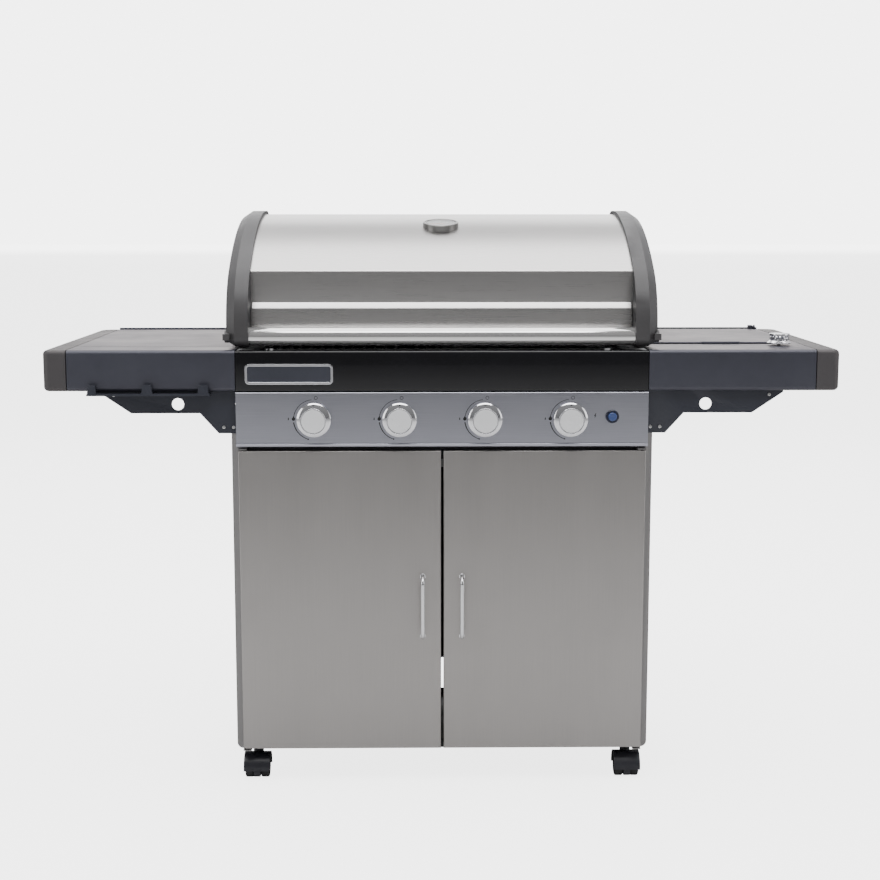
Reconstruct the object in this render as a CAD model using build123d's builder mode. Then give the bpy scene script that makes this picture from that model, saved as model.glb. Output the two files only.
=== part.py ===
"""Four-burner gas barbecue grill on a cabinet cart, with side tables and a side burner.

Frame: +X right, +Y back, +Z up, millimetres. The origin is on the ground, under the
middle of the grill's footprint. The front of the grill faces -Y.
"""
from build123d import *
from math import cos, radians, sin, sqrt
import os

os.makedirs("parts", exist_ok=True)

# ---------------------------------------------------------------- driving dimensions
SHEET = 1.5                 # steel sheet of the cart and the cooking box
THIN_SHEET = 1.2            # stainless sheet of hood, doors, bowl and tray
TOUCH_GAP = 0.3             # gap left between parts that slide on each other

FRONT_FACE = -280.0         # common front plane of fascia, panel, doors and tables
CART_FRONT = -262.0         # front returns of the side panels
CART_BACK = 160.0
CART_HALF = 437.0           # outer faces of the side panels
CHEEK_SETBACK = 11.0        # the cooking box's side skirts stand this far inside them
CHEEK = CART_HALF - CHEEK_SETBACK
CART_BOTTOM = 70.0
CART_TOP = 800.0
RETURN = 32.0               # width of the folded returns of the side panels
FOOT_RETURN = 80.0          # width of the bottom return that carries the casters
CORNER = 13.0               # lower bend of the side panels

SHELF_BACK = 100.0
SHELF_LIP = 18.0
REAR_PANEL_LOW = 150.0      # open slot below the rear panel
REAR_PANEL_TOP = 712.0

PANEL_GAP = 1.5             # gap at the ends of fascia and control panel
PANEL_HALF = CHEEK - PANEL_GAP
PANEL_LOW = 722.0
PANEL_TOP = 836.5
FASCIA_LOW = 838.0
FASCIA_TOP = 921.0

KNOB_X = (-264.8, -88.3, 88.3, 264.8)
KNOB_Z = 779.0
IGNITER_INSET = 73.5        # from the right end of the panel
IGNITER_X = PANEL_HALF - IGNITER_INSET
IGNITER_Z = 785.0

DOOR_LOW = 74.0
DOOR_TOP = 714.0
DOOR_SETBACK = 14.5         # the cart's side panels show this much beside the doors
DOOR_OUTER = CART_HALF - DOOR_SETBACK
DOOR_SPLIT = 2.5            # half of the gap between the doors
DOOR_THICK = 15.0
DOOR_LIP = 14.0
DOOR_BEND = 3.0
DOOR_PIN = 6.0
PIN_FIT = 0.08              # radial clearance of hinge pins and stems
HANDLE_X = 41.0             # door handles either side of the gap
HANDLE_Z = 384.0
HANDLE_PITCH = 128.0
HANDLE_ROD = 8.0
HANDLE_REACH = 26.0

BOX_AIR = 41.0              # between the cooking box and its side skirts
BOX_HALF = CHEEK - BOX_AIR  # cooking box, outside
BOX_FRONT = -215.0
BOX_BACK = 240.0
BOX_TOP = 915.0
BOX_KNEE = 750.0            # the floor of the cooking box slopes below this height
BOX_FLOOR = 705.0
BOX_FLOOR_HALF = 250.0
BOX_FLOOR_FRONT = -60.0
BOX_FLOOR_BACK = 90.0
DRAIN_HALF = 120.0
SKIRT_BACK = 288.0
GRATE_Z = 898.0             # ledge that carries grate and griddle
TAMER_Z = 835.0             # ledge that carries the flame tamers
LEDGE = 10.0

HOOD_LAP = 14.0             # the hood reaches this far over the cooking box
HOOD_HALF = BOX_HALF + HOOD_LAP     # steel shell between the cast end caps
CAP_WIDTH = 28.0            # front band of an end cap
CAP_BEVEL = 18.0            # bevelled part outside the band
CAP_BEVEL_IN = 12.0
CAP_RIM = 12.0
CAP_WALL = 5.0
CREASE_Y = -199.0           # upright front panel of the hood
DOME_RADIUS = 640.0
DOME_TOP = 1198.0
DOME_TOP_Y = 168.0
HOOD_REAR_RADIUS = 82.0
HOOD_BACK = 270.0
HOOD_LOW = 935.0
CAP_PROUD = 8.0             # end caps stand this far outside the steel
CAP_FRONT = -268.0
CAP_FRONT_RADIUS = 150.0
CAP_LOW = 928.0
HINGE_CORNER = 20.0         # rounded rear corner of the cap, centred on the hinge
HINGE_PIN = 8.0
TUBE = 38.0                 # hood handle
TUBE_WALL = 1.5
NOSE = 21.0                 # nose of the cap, round the handle's end
BOLT_BOSS = 26.0            # boss on the cap's outside, round the handle's bolt
BOLT_BOSS_PROUD = 3.5
BOLT_SEAT = 13.0
EMBOSS_TOP = 1016.0
EMBOSS_LOW = 1003.0
EMBOSS_DEPTH = 8.0
EMBOSS_MARGIN = 10.0

GAUGE_PLACE = 16.5          # how far down the dome the thermometer sits, in degrees
GAUGE_TILT = 11.0           # its face is nearly level, so its foot is deeper at the front
GAUGE = 78.0
GAUGE_HEIGHT = 10.0
GAUGE_DIAL = 66.0
GAUGE_STEM = 8.0

TABLE_TOP = 923.0
TABLE_LOW = 838.0
TABLE_INNER = CHEEK
TABLE_WIDTH = 344.0         # steel part of a side table
TABLE_SEAM = TABLE_INNER + TABLE_WIDTH
END_WIDTH = 50.0            # its moulded end cap
TABLE_END = TABLE_SEAM + END_WIDTH
TABLE_BACK = 310.0
TABLE_WALL = 2.0
TABLE_EDGE = 9.0
TABLE_RETURN = 15.0         # lower edge of the apron, rolled inwards
RIM_DEPTH = 95.0            # front rim in front of the groove
GROOVE = 2.0
BACK_RIM = 4.0
BRACKET_SHEET = 2.0
BRACKET_FRONT = -264.0
BRACKET_REAR = 140.0
BRACKET_DROP = 51.0         # foot of the brackets below the cart's top
BRACKET_STEP = 9.0          # their middle stretch below the cart's top
BRACKET_REACH = (26.0, 64.0, 206.0, 270.0)      # corners, out from the cart's side
BRACKET_HOLE = 25.0
BRACKET_HOLE_OUT = 109.0
BRACKET_HOLE_UP = 10.0

LID_MARGIN = 24.0           # from the table's inner edge to the lid
LID_WIDTH = 300.0
LID_INNER = TABLE_INNER + LID_MARGIN
LID_OUTER = LID_INNER + LID_WIDTH
LID_FRONT = -131.0
LID_BACK = 255.0
LID_GAP = 2.0
LID_THICK = 5.0
LID_LOW = TABLE_TOP + LID_GAP
LID_TOP = LID_LOW + LID_THICK
LID_PIN = 5.0
LID_AXIS_Y = LID_BACK + 5.0
LID_AXIS_Z = LID_TOP
LIP_WIDTH = 84.0
EAR = 5.8
BOWL_INSET = 13.0
BOWL_DEPTH = 60.0
SIDE_KNOB_ASIDE = 33.0      # from the lid's outer edge
SIDE_KNOB_AHEAD = 38.0      # from the lid's front edge
SIDE_KNOB_X = LID_OUTER - SIDE_KNOB_ASIDE
SIDE_KNOB_Y = LID_FRONT - SIDE_KNOB_AHEAD

STEM = 8.0                  # gas valve stems, with a flat
STEM_FLAT = 3.0             # distance of the flat from the axis
KNOB_SKIRT = 71.0
KNOB_DRUM = 53.0
KNOB_WAIST = 45.0
KNOB_DEPTH = 24.0
KNOB_TRAVEL = 3.0
KNOB_GAP = 4.5              # knob back to panel at rest
KNOB_RIBS = 8
SIDE_KNOB_SCALE = 0.72

CASTER_INSET = 41.0
CASTER_X = CART_HALF - CASTER_INSET
CASTER_FRONT = -222.0
CASTER_REAR = 118.0
CASTER_TRAIL = 20.0
WHEEL = 50.0
WHEEL_WIDTH = 18.0
CASTER_WEB = 14.0
CASTER_WIDTH = 56.0
AXLE = 8.0
CASTER_STEM = 11.0
CASTER_PLATE = 4.0

TRAY_HALF = 228.0
TRAY_FRONT = -180.0
TRAY_BACK = 165.0
TRAY_LOW = 664.0
TRAY_TOP = 690.0

MANIFOLD = 18.0
MANIFOLD_Y = -243.0
MANIFOLD_Z = 758.0
BURNER = 28.0
BURNER_THROAT = 22.0


def save(builder, name):
    """Label a finished piece and write it as its own STEP file."""
    builder.part.label = name
    export_step(builder.part, f"parts/{name}.step")


def block(x0, x1, y0, y1, z0, z1, mode=Mode.ADD):
    """A box given by its two corners, inside the builder in use."""
    with Locations(((x0 + x1) / 2, (y0 + y1) / 2, (z0 + z1) / 2)):
        Box(abs(x1 - x0), abs(y1 - y0), abs(z1 - z0), mode=mode)


def mirrored(source, name):
    """Write the left-hand twin of a right-hand piece."""
    with BuildPart() as twin:
        mirror(source.part, about=Plane.YZ)
    save(twin, name)
    return twin


# ================================================================ cart
# The right side panel is a folded tray, open towards the inside of the cabinet. Its
# foot return is wider and carries the casters; two tabs with pins carry the door.
pin_x = DOOR_OUTER - DOOR_THICK / 2
pin_y = FRONT_FACE + DOOR_THICK / 2
tab_low = DOOR_LOW - 2.0
tab_high = DOOR_TOP + 2.0
panel_in = CART_HALF - RETURN

with BuildPart() as right_side_panel:
    with BuildSketch(Plane.XZ.offset(-CART_BACK)) as outline:
        with BuildLine():
            Polyline((CART_HALF, CART_BOTTOM + CORNER), (CART_HALF, CART_TOP), (panel_in, CART_TOP),
                     (panel_in, CART_BOTTOM), (CART_HALF - CORNER, CART_BOTTOM))
            RadiusArc((CART_HALF - CORNER, CART_BOTTOM), (CART_HALF, CART_BOTTOM + CORNER), -CORNER)
        make_face()
    extrude(amount=CART_BACK - CART_FRONT)
    with BuildSketch(Plane.XZ.offset(-CART_BACK + SHEET)) as hollow:
        inner = CART_HALF - SHEET
        with BuildLine():
            Polyline((inner, CART_BOTTOM + CORNER), (inner, CART_TOP - SHEET), (panel_in, CART_TOP - SHEET),
                     (panel_in, CART_BOTTOM + SHEET), (CART_HALF - CORNER, CART_BOTTOM + SHEET))
            RadiusArc((CART_HALF - CORNER, CART_BOTTOM + SHEET), (inner, CART_BOTTOM + CORNER),
                      -(CORNER - SHEET))
        make_face()
    extrude(amount=CART_BACK - CART_FRONT - 2 * SHEET, mode=Mode.SUBTRACT)
    block(CART_HALF - FOOT_RETURN, panel_in, CART_FRONT + SHEET, CART_BACK, CART_BOTTOM, CART_BOTTOM + SHEET)
    for tab_z, pin_z in ((tab_low, tab_low + 9), (tab_high + 2, tab_high - 9)):
        block(panel_in, DOOR_OUTER, FRONT_FACE, CART_FRONT, tab_z - 2, tab_z)
        with Locations((pin_x, pin_y, (tab_z - 1 + pin_z) / 2)):
            Cylinder(DOOR_PIN / 2, abs(pin_z - tab_z + 1))
    for y in (CASTER_FRONT, CASTER_REAR):
        with Locations((CASTER_X, y, CART_BOTTOM + SHEET / 2)):
            Cylinder(CASTER_STEM / 2 + PIN_FIT, 3 * SHEET, mode=Mode.SUBTRACT)
save(right_side_panel, "right_side_panel")
left_side_panel = mirrored(right_side_panel, "left_side_panel")

# Base shelf: a pan between the side panels, with a front flange and a rear lip.
shelf_z = CART_BOTTOM + SHEET
with BuildPart() as base_shelf:
    block(-CART_HALF + CORNER + 2, CART_HALF - CORNER - 2, CART_FRONT + SHEET, SHELF_BACK,
          shelf_z, shelf_z + SHEET)
    block(-panel_in + 1, panel_in - 1, CART_FRONT, CART_FRONT + SHEET, CART_BOTTOM, CART_BOTTOM + SHELF_LIP)
    block(-panel_in + 1, panel_in - 1, SHELF_BACK - SHEET, SHELF_BACK, shelf_z, shelf_z + SHELF_LIP)
    for side in (-1, 1):
        with Locations((side * CASTER_X, CASTER_FRONT, shelf_z)):
            Cylinder(CASTER_STEM / 2 + PIN_FIT, 3 * SHEET, mode=Mode.SUBTRACT)
save(base_shelf, "base_shelf")

# Rear panel, hemmed at the bottom and notched where the grease tray comes out.
notch_half = TRAY_HALF + 20
with BuildPart() as rear_panel:
    block(-CART_HALF + SHEET, CART_HALF - SHEET, CART_BACK - 2 * SHEET, CART_BACK - SHEET,
          REAR_PANEL_LOW, REAR_PANEL_TOP)
    block(-panel_in + 1, panel_in - 1, CART_BACK - 2 * SHEET - 12, CART_BACK - 2 * SHEET,
          REAR_PANEL_LOW, REAR_PANEL_LOW + SHEET)
    block(-notch_half, notch_half, CART_BACK - 4 * SHEET, CART_BACK, TRAY_LOW - 8, REAR_PANEL_TOP,
          mode=Mode.SUBTRACT)
    with BuildSketch(Plane.XZ.offset(-CART_BACK)):
        with GridLocations(60, 0, 9, 1):
            with Locations((0, 600)):
                SlotOverall(70, 8, rotation=90)
    extrude(amount=4 * SHEET, mode=Mode.SUBTRACT)
save(rear_panel, "rear_panel")

# Front rail between the side panels, above the doors. Its two magnetic catches stand
# just behind the inner lips of the doors.
door_back = FRONT_FACE + DOOR_THICK
RAIL_LOW = 694.0
RAIL_TOP = 735.0
RAIL_DEPTH = 8.0
with BuildPart() as front_rail:
    block(-panel_in, panel_in, CART_FRONT, CART_FRONT + SHEET, RAIL_LOW, RAIL_TOP)
    block(-panel_in, panel_in, CART_FRONT + SHEET, CART_FRONT + RAIL_DEPTH, RAIL_LOW, RAIL_LOW + SHEET)
    for side in (-1, 1):
        block(side * 20, side * 60, door_back + TOUCH_GAP, CART_FRONT, DOOR_TOP - 12, DOOR_TOP - 2)
save(front_rail, "front_rail")

# ================================================================ doors
# Each door is a folded pan with inner lips, hung on two pins near its outer edge.
with BuildPart() as right_door:
    door_mid = ((DOOR_SPLIT + DOOR_OUTER) / 2, FRONT_FACE + DOOR_THICK / 2)
    with BuildSketch(Plane.XY.offset(DOOR_LOW)):
        with Locations(door_mid):
            RectangleRounded(DOOR_OUTER - DOOR_SPLIT, DOOR_THICK, DOOR_BEND)
    extrude(amount=DOOR_TOP - DOOR_LOW)
    with BuildSketch(Plane.XY.offset(DOOR_LOW + THIN_SHEET)):
        with Locations(door_mid):
            RectangleRounded(DOOR_OUTER - DOOR_SPLIT - 2 * THIN_SHEET, DOOR_THICK - 2 * THIN_SHEET,
                             DOOR_BEND - THIN_SHEET)
    extrude(amount=DOOR_TOP - DOOR_LOW - 2 * THIN_SHEET, mode=Mode.SUBTRACT)
    block(DOOR_SPLIT + DOOR_LIP, DOOR_OUTER - DOOR_LIP, door_back - 2 * THIN_SHEET, door_back + 1,
          DOOR_LOW + DOOR_LIP, DOOR_TOP - DOOR_LIP, mode=Mode.SUBTRACT)
    for z in (DOOR_LOW, DOOR_TOP):
        with Locations((pin_x, pin_y, z)):
            Cylinder(DOOR_PIN / 2 + PIN_FIT, 4 * THIN_SHEET, mode=Mode.SUBTRACT)
save(right_door, "right_door")
left_door = mirrored(right_door, "left_door")

# Bow handles of round rod.
with BuildPart() as right_door_handle:
    with BuildLine() as bow:
        FilletPolyline((HANDLE_X, FRONT_FACE, HANDLE_Z - HANDLE_PITCH / 2),
                       (HANDLE_X, FRONT_FACE - HANDLE_REACH, HANDLE_Z - HANDLE_PITCH / 2),
                       (HANDLE_X, FRONT_FACE - HANDLE_REACH, HANDLE_Z + HANDLE_PITCH / 2),
                       (HANDLE_X, FRONT_FACE, HANDLE_Z + HANDLE_PITCH / 2), radius=13)
    with BuildSketch(Plane.XZ.offset(-FRONT_FACE)):
        with Locations((HANDLE_X, HANDLE_Z - HANDLE_PITCH / 2)):
            Circle(HANDLE_ROD / 2)
    sweep()
save(right_door_handle, "right_door_handle")
left_door_handle = mirrored(right_door_handle, "left_door_handle")

# ================================================================ cooking box
# A deep tub with a sloping floor and a drain, a flange round its rim and side skirts
# that stand on the cart. Ledges inside carry the grates and the flame tamers.
box_mid = (BOX_FRONT + BOX_BACK) / 2
floor_mid = (BOX_FLOOR_FRONT + BOX_FLOOR_BACK) / 2


def tub(inset, top):
    """The outer form of the cooking box, made smaller by an inset, as a solid."""
    with BuildPart() as form:
        with BuildSketch(Plane.XY.offset(BOX_KNEE)):
            with Locations((0, box_mid)):
                Rectangle(2 * (BOX_HALF - inset), BOX_BACK - BOX_FRONT - 2 * inset)
        extrude(amount=top - BOX_KNEE)
        with BuildSketch(Plane.XY.offset(BOX_KNEE)):
            with Locations((0, box_mid)):
                Rectangle(2 * (BOX_HALF - inset), BOX_BACK - BOX_FRONT - 2 * inset)
        with BuildSketch(Plane.XY.offset(BOX_FLOOR + inset)):
            with Locations((0, floor_mid)):
                Rectangle(2 * (BOX_FLOOR_HALF - inset), BOX_FLOOR_BACK - BOX_FLOOR_FRONT - 2 * inset)
        loft()
    return form.part


tub_outside = tub(0, BOX_TOP)
tub_inside = tub(SHEET, BOX_TOP + 1)

with BuildPart() as firebox:
    add(tub_outside)
    block(-CHEEK, CHEEK, CART_FRONT, SKIRT_BACK, BOX_TOP - SHEET, BOX_TOP)
    for side in (-1, 1):
        block(side * (CHEEK - SHEET), side * CHEEK, CART_FRONT, SKIRT_BACK, CART_TOP, BOX_TOP)
    block(-CHEEK, CHEEK, SKIRT_BACK - SHEET, SKIRT_BACK, BOX_TOP - 50, BOX_TOP)
    block(-CHEEK, CHEEK, CART_FRONT, CART_FRONT + SHEET, FASCIA_LOW - 2, BOX_TOP)
    add(tub_inside, mode=Mode.SUBTRACT)
    for ledge_z in (GRATE_Z, TAMER_Z):
        for y, inward in ((BOX_FRONT + SHEET, 1), (BOX_BACK - SHEET, -1)):
            block(-BOX_HALF + SHEET, BOX_HALF - SHEET, y, y + inward * LEDGE, ledge_z - SHEET, ledge_z)
    block(-DRAIN_HALF, DRAIN_HALF, floor_mid - 40, floor_mid + 40, BOX_FLOOR - 1, BOX_FLOOR + 3 * SHEET,
          mode=Mode.SUBTRACT)
    with BuildSketch(Plane.XZ.offset(-BOX_FRONT + 1)):
        with Locations(*[(x, KNOB_Z) for x in KNOB_X]):
            Circle(BURNER_THROAT / 2 + 1)
    extrude(amount=-4 * SHEET, mode=Mode.SUBTRACT)
    # rails for the grease tray, under the floor
    runner = TRAY_TOP - THIN_SHEET - 0.1
    for side in (-1, 1):
        block(side * (TRAY_HALF + 13), side * (TRAY_HALF + 13 + SHEET), TRAY_FRONT + 60, CART_BACK - 3 * SHEET,
              runner - SHEET, BOX_FLOOR)
        block(side * (TRAY_HALF + 2), side * (TRAY_HALF + 13), TRAY_FRONT + 60, CART_BACK - 3 * SHEET,
              runner - SHEET, runner)
save(firebox, "firebox")

# Grease tray on the rails, drawn out to the rear by its back plate.
with BuildPart() as grease_tray:
    block(-TRAY_HALF, TRAY_HALF, TRAY_FRONT, TRAY_BACK, TRAY_LOW, TRAY_TOP)
    block(-TRAY_HALF + THIN_SHEET, TRAY_HALF - THIN_SHEET, TRAY_FRONT + THIN_SHEET,
          TRAY_BACK - THIN_SHEET, TRAY_LOW + THIN_SHEET, TRAY_TOP + 1, mode=Mode.SUBTRACT)
    for side in (-1, 1):
        block(side * TRAY_HALF, side * (TRAY_HALF + 12), TRAY_FRONT, TRAY_BACK - 10,
              TRAY_TOP - THIN_SHEET, TRAY_TOP)
    block(-notch_half - 8, notch_half + 8, TRAY_BACK, TRAY_BACK + SHEET, TRAY_LOW - 14, REAR_PANEL_TOP - 4)
    with BuildSketch(Plane.XZ.offset(-TRAY_BACK)):
        with Locations((0, TRAY_TOP + 8)):
            SlotOverall(90, 12)
    extrude(amount=-3 * SHEET, mode=Mode.SUBTRACT)
save(grease_tray, "grease_tray")

# Burner tubes: a venturi throat at the front, a closed tube with two rows of ports.
BURNER_START = -190.0
BURNER_END = 190.0
with BuildPart() as burner_tubes:
    for x in KNOB_X:
        with BuildSketch(Plane.XZ.offset(-BURNER_START)):
            with Locations((x, KNOB_Z)):
                Circle(BURNER / 2)
        extrude(amount=-(BURNER_END - BURNER_START))
        with BuildSketch(Plane.XZ.offset(-BURNER_START)):
            with Locations((x, KNOB_Z)):
                Circle(BURNER_THROAT / 2)
        extrude(amount=BURNER_START - BOX_FRONT + 7)
        with BuildSketch(Plane.XZ.offset(-BOX_FRONT + 7)):
            with Locations((x, KNOB_Z)):
                Circle(BURNER_THROAT / 2 - 1.5)
        extrude(amount=-(BURNER_END - BOX_FRONT - 5), mode=Mode.SUBTRACT)
        block(x - 11, x + 11, BURNER_END, BOX_BACK - SHEET, KNOB_Z - 1, KNOB_Z + 1)
        with BuildSketch(Plane.YZ.offset(x - BURNER)):
            with GridLocations(24, 0, 14, 1):
                with Locations((0, KNOB_Z + 3)):
                    Rectangle(2, 3)
        extrude(amount=2 * BURNER, mode=Mode.SUBTRACT)
save(burner_tubes, "burner_tubes")

# Flame tamers: roofs of folded sheet over the burners, standing on the lower ledges.
TAMER_HALF = 55.0
TAMER_RISE = 26.0
with BuildPart() as flame_tamers:
    for x in KNOB_X:
        with BuildSketch(Plane.XZ.offset(-BOX_BACK + SHEET + 1)):
            with BuildLine():
                Polyline((x - TAMER_HALF, TAMER_Z), (x, TAMER_Z + TAMER_RISE), (x + TAMER_HALF, TAMER_Z),
                         (x + TAMER_HALF - 3.5, TAMER_Z), (x, TAMER_Z + TAMER_RISE - 1.8),
                         (x - TAMER_HALF + 3.5, TAMER_Z), close=True)
            make_face()
        extrude(amount=BOX_BACK - BOX_FRONT - 2 * SHEET - 2)
save(flame_tamers, "flame_tamers")

# Cast cooking grate: a frame with bars of tapered section.
GRATE_GAP = 1.5
GRATE_OUTER = BOX_HALF - SHEET - 2
GRATE_HEIGHT = 14.0
GRATE_BARS = 15
grate_front = BOX_FRONT + SHEET + 2
grate_back = BOX_BACK - SHEET - 2
with BuildPart() as cooking_grate:
    with BuildSketch(Plane.XY.offset(GRATE_Z)):
        with Locations((-(GRATE_OUTER + GRATE_GAP) / 2, (grate_front + grate_back) / 2)):
            Rectangle(GRATE_OUTER - GRATE_GAP, grate_back - grate_front)
            Rectangle(GRATE_OUTER - GRATE_GAP - 22, grate_back - grate_front - 22, mode=Mode.SUBTRACT)
    extrude(amount=GRATE_HEIGHT - 3)
    pitch = (GRATE_OUTER - GRATE_GAP - 11) / (GRATE_BARS + 1)
    with BuildSketch(Plane.XZ.offset(-grate_back + 5)):
        for i in range(GRATE_BARS):
            bar_x = -GRATE_OUTER + 5.5 + pitch * (i + 1)
            with BuildLine():
                Polyline((bar_x - 4.5, GRATE_Z), (bar_x + 4.5, GRATE_Z), (bar_x + 3, GRATE_Z + GRATE_HEIGHT),
                         (bar_x - 3, GRATE_Z + GRATE_HEIGHT), close=True)
            make_face()
    extrude(amount=grate_back - grate_front - 10)
    mid_y = (grate_front + grate_back) / 2
    block(-GRATE_OUTER + 5, -GRATE_GAP - 5, mid_y - 5, mid_y + 5, GRATE_Z, GRATE_Z + GRATE_HEIGHT - 5)
save(cooking_grate, "cooking_grate")

# Cast griddle: a plate with a rim, ribs and a grease slot.
with BuildPart() as griddle_plate:
    block(GRATE_GAP, GRATE_OUTER, grate_front, grate_back, GRATE_Z, GRATE_Z + GRATE_HEIGHT - 1)
    block(GRATE_GAP + 7, GRATE_OUTER - 7, grate_front + 7, grate_back - 7, GRATE_Z + 7,
          GRATE_Z + GRATE_HEIGHT, mode=Mode.SUBTRACT)
    with BuildSketch(Plane.XY.offset(GRATE_Z + 7)):
        with Locations(((GRATE_OUTER + GRATE_GAP) / 2, mid_y + 14)):
            with GridLocations(24, 0, 14, 1):
                Rectangle(7, grate_back - grate_front - 70)
    extrude(amount=4)
    with BuildSketch(Plane.XY.offset(GRATE_Z)):
        with Locations(((GRATE_OUTER + GRATE_GAP) / 2, grate_front + 18)):
            SlotOverall(260, 9)
    extrude(amount=10, mode=Mode.SUBTRACT)
save(griddle_plate, "griddle_plate")

# Warming rack: wires in a frame, on four legs that stand on the rim of the box.
RACK_Z = 1008.0
RACK_FRONT = 60.0
RACK_BACK = 225.0
RACK_LEG_X = BOX_HALF + 4
RACK_HALF = RACK_LEG_X - 17
WIRE = 6.0
with BuildPart() as warming_rack:
    for y in (RACK_FRONT, RACK_BACK):
        with Locations((0, y, RACK_Z)):
            Cylinder(WIRE / 2, 2 * RACK_LEG_X, rotation=(0, 90, 0))
    with Locations((0, (RACK_FRONT + RACK_BACK) / 2, RACK_Z)):
        with GridLocations(2 * RACK_HALF / 20, 0, 21, 1):
            Cylinder(WIRE / 3, RACK_BACK - RACK_FRONT, rotation=(90, 0, 0))
    for side in (-1, 1):
        for y in (RACK_FRONT, RACK_BACK):
            with Locations((side * RACK_LEG_X, y, (BOX_TOP + RACK_Z + WIRE / 2) / 2)):
                Cylinder(WIRE / 2, RACK_Z + WIRE / 2 - BOX_TOP)
save(warming_rack, "warming_rack")

# ================================================================ front
# Gloss fascia: a folded sheet whose top return reaches back over the box's flange.
with BuildPart() as front_fascia:
    block(-PANEL_HALF, PANEL_HALF, FRONT_FACE, CART_FRONT, FASCIA_LOW, FASCIA_TOP)
    fillet(front_fascia.edges().filter_by(Axis.X).group_by(Axis.Y)[0].sort_by(Axis.Z)[-1], 4)
    block(-PANEL_HALF + SHEET, PANEL_HALF - SHEET, FRONT_FACE + SHEET, CART_FRONT + 1,
          FASCIA_LOW + SHEET, FASCIA_TOP - SHEET, mode=Mode.SUBTRACT)
    block(-PANEL_HALF, PANEL_HALF, CART_FRONT, BOX_FRONT - 3, FASCIA_TOP - SHEET, FASCIA_TOP)
    block(-PANEL_HALF, PANEL_HALF, BOX_FRONT - 3 - SHEET, BOX_FRONT - 3, BOX_TOP, FASCIA_TOP)
save(front_fascia, "front_fascia")

# Control panel: a pan open at the back, with a rolled lower lip.
with BuildPart() as control_panel:
    block(-PANEL_HALF, PANEL_HALF, FRONT_FACE, CART_FRONT, PANEL_LOW, PANEL_TOP)
    front_edges = control_panel.edges().filter_by(Axis.X).group_by(Axis.Y)[0]
    fillet(front_edges.sort_by(Axis.Z)[0], 6)
    fillet(control_panel.edges().filter_by(Axis.X).group_by(Axis.Y)[0].sort_by(Axis.Z)[-1], 2)
    block(-PANEL_HALF + SHEET, PANEL_HALF - SHEET, FRONT_FACE + SHEET, CART_FRONT + 1,
          PANEL_LOW + SHEET + 3, PANEL_TOP - SHEET, mode=Mode.SUBTRACT)
    with BuildSketch(Plane.XZ.offset(-FRONT_FACE + 1)):
        with Locations(*[(x, KNOB_Z) for x in KNOB_X]):
            Circle(STEM / 2 + 2)
        with Locations((IGNITER_X, IGNITER_Z)):
            Circle(10.85)
    extrude(amount=-4 * SHEET, mode=Mode.SUBTRACT)
save(control_panel, "control_panel")

# Igniter: a flanged barrel through the panel and a push button in it.
BUTTON = 18.0
BUTTON_TRAVEL = 4.0
with BuildPart() as igniter_body:
    with BuildSketch(Plane.XZ.offset(-FRONT_FACE)):
        with Locations((IGNITER_X, IGNITER_Z)):
            Circle(14)
    extrude(amount=3)
    with BuildSketch(Plane.XZ.offset(-FRONT_FACE)):
        with Locations((IGNITER_X, IGNITER_Z)):
            Circle(10.8)
    extrude(amount=-30)
    with BuildSketch(Plane.XZ.offset(-FRONT_FACE + 4)):
        with Locations((IGNITER_X, IGNITER_Z)):
            Circle(BUTTON / 2 + PIN_FIT)
    extrude(amount=-26, mode=Mode.SUBTRACT)
save(igniter_body, "igniter_body")

with BuildPart() as igniter_button:
    with BuildSketch(Plane.XZ.offset(-FRONT_FACE + 8)):
        with Locations((IGNITER_X, IGNITER_Z)):
            Circle(BUTTON / 2)
    extrude(amount=-24)
    fillet(igniter_button.faces().sort_by(Axis.Y)[0].edges(), 1.5)
save(igniter_button, "igniter_button")

# ================================================================ gas train
# Valves screwed behind the panel, saddled on the manifold; the jet looks into the
# burner throat. The side burner's valve is the same, under the right table.
VALVE_FRONT = -258.0
VALVE_BACK = -229.0
stem_back = -240.0
stem_front = FRONT_FACE - KNOB_GAP - 14
with BuildPart() as gas_valves:
    for x in KNOB_X:
        block(x - 13, x + 13, VALVE_FRONT, VALVE_BACK, KNOB_Z - 18, KNOB_Z + 13)
        with BuildSketch(Plane.XZ.offset(-FRONT_FACE - SHEET)):
            with Locations((x, KNOB_Z)):
                Circle(9)
        extrude(amount=-(VALVE_FRONT - FRONT_FACE - SHEET))
        with BuildSketch(Plane.XZ.offset(-VALVE_BACK)):
            with Locations((x, KNOB_Z)):
                Circle(4)
        extrude(amount=-12)
        with BuildSketch(Plane.XZ.offset(-FRONT_FACE - SHEET)):
            with Locations((x, KNOB_Z)):
                Circle(STEM / 2 + PIN_FIT)
        extrude(amount=-(stem_back - FRONT_FACE - SHEET), mode=Mode.SUBTRACT)
    with Locations((0, MANIFOLD_Y, MANIFOLD_Z)):
        Cylinder(MANIFOLD / 2, 2 * CART_HALF, rotation=(0, 90, 0), mode=Mode.SUBTRACT)
    # side burner valve, hung under the table's top
    block(SIDE_KNOB_X - 13, SIDE_KNOB_X + 13, SIDE_KNOB_Y - 13, SIDE_KNOB_Y + 18,
          TABLE_TOP - TABLE_WALL - 42, TABLE_TOP - TABLE_WALL - 14)
    with BuildSketch(Plane.XY.offset(TABLE_TOP - TABLE_WALL - 14)):
        with Locations((SIDE_KNOB_X, SIDE_KNOB_Y)):
            Circle(9)
    extrude(amount=14)
    with BuildSketch(Plane.XY.offset(TABLE_TOP - TABLE_WALL - 36)):
        with Locations((SIDE_KNOB_X, SIDE_KNOB_Y)):
            Circle(STEM / 2 + PIN_FIT)
    extrude(amount=40, mode=Mode.SUBTRACT)
save(gas_valves, "gas_valves")

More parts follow.
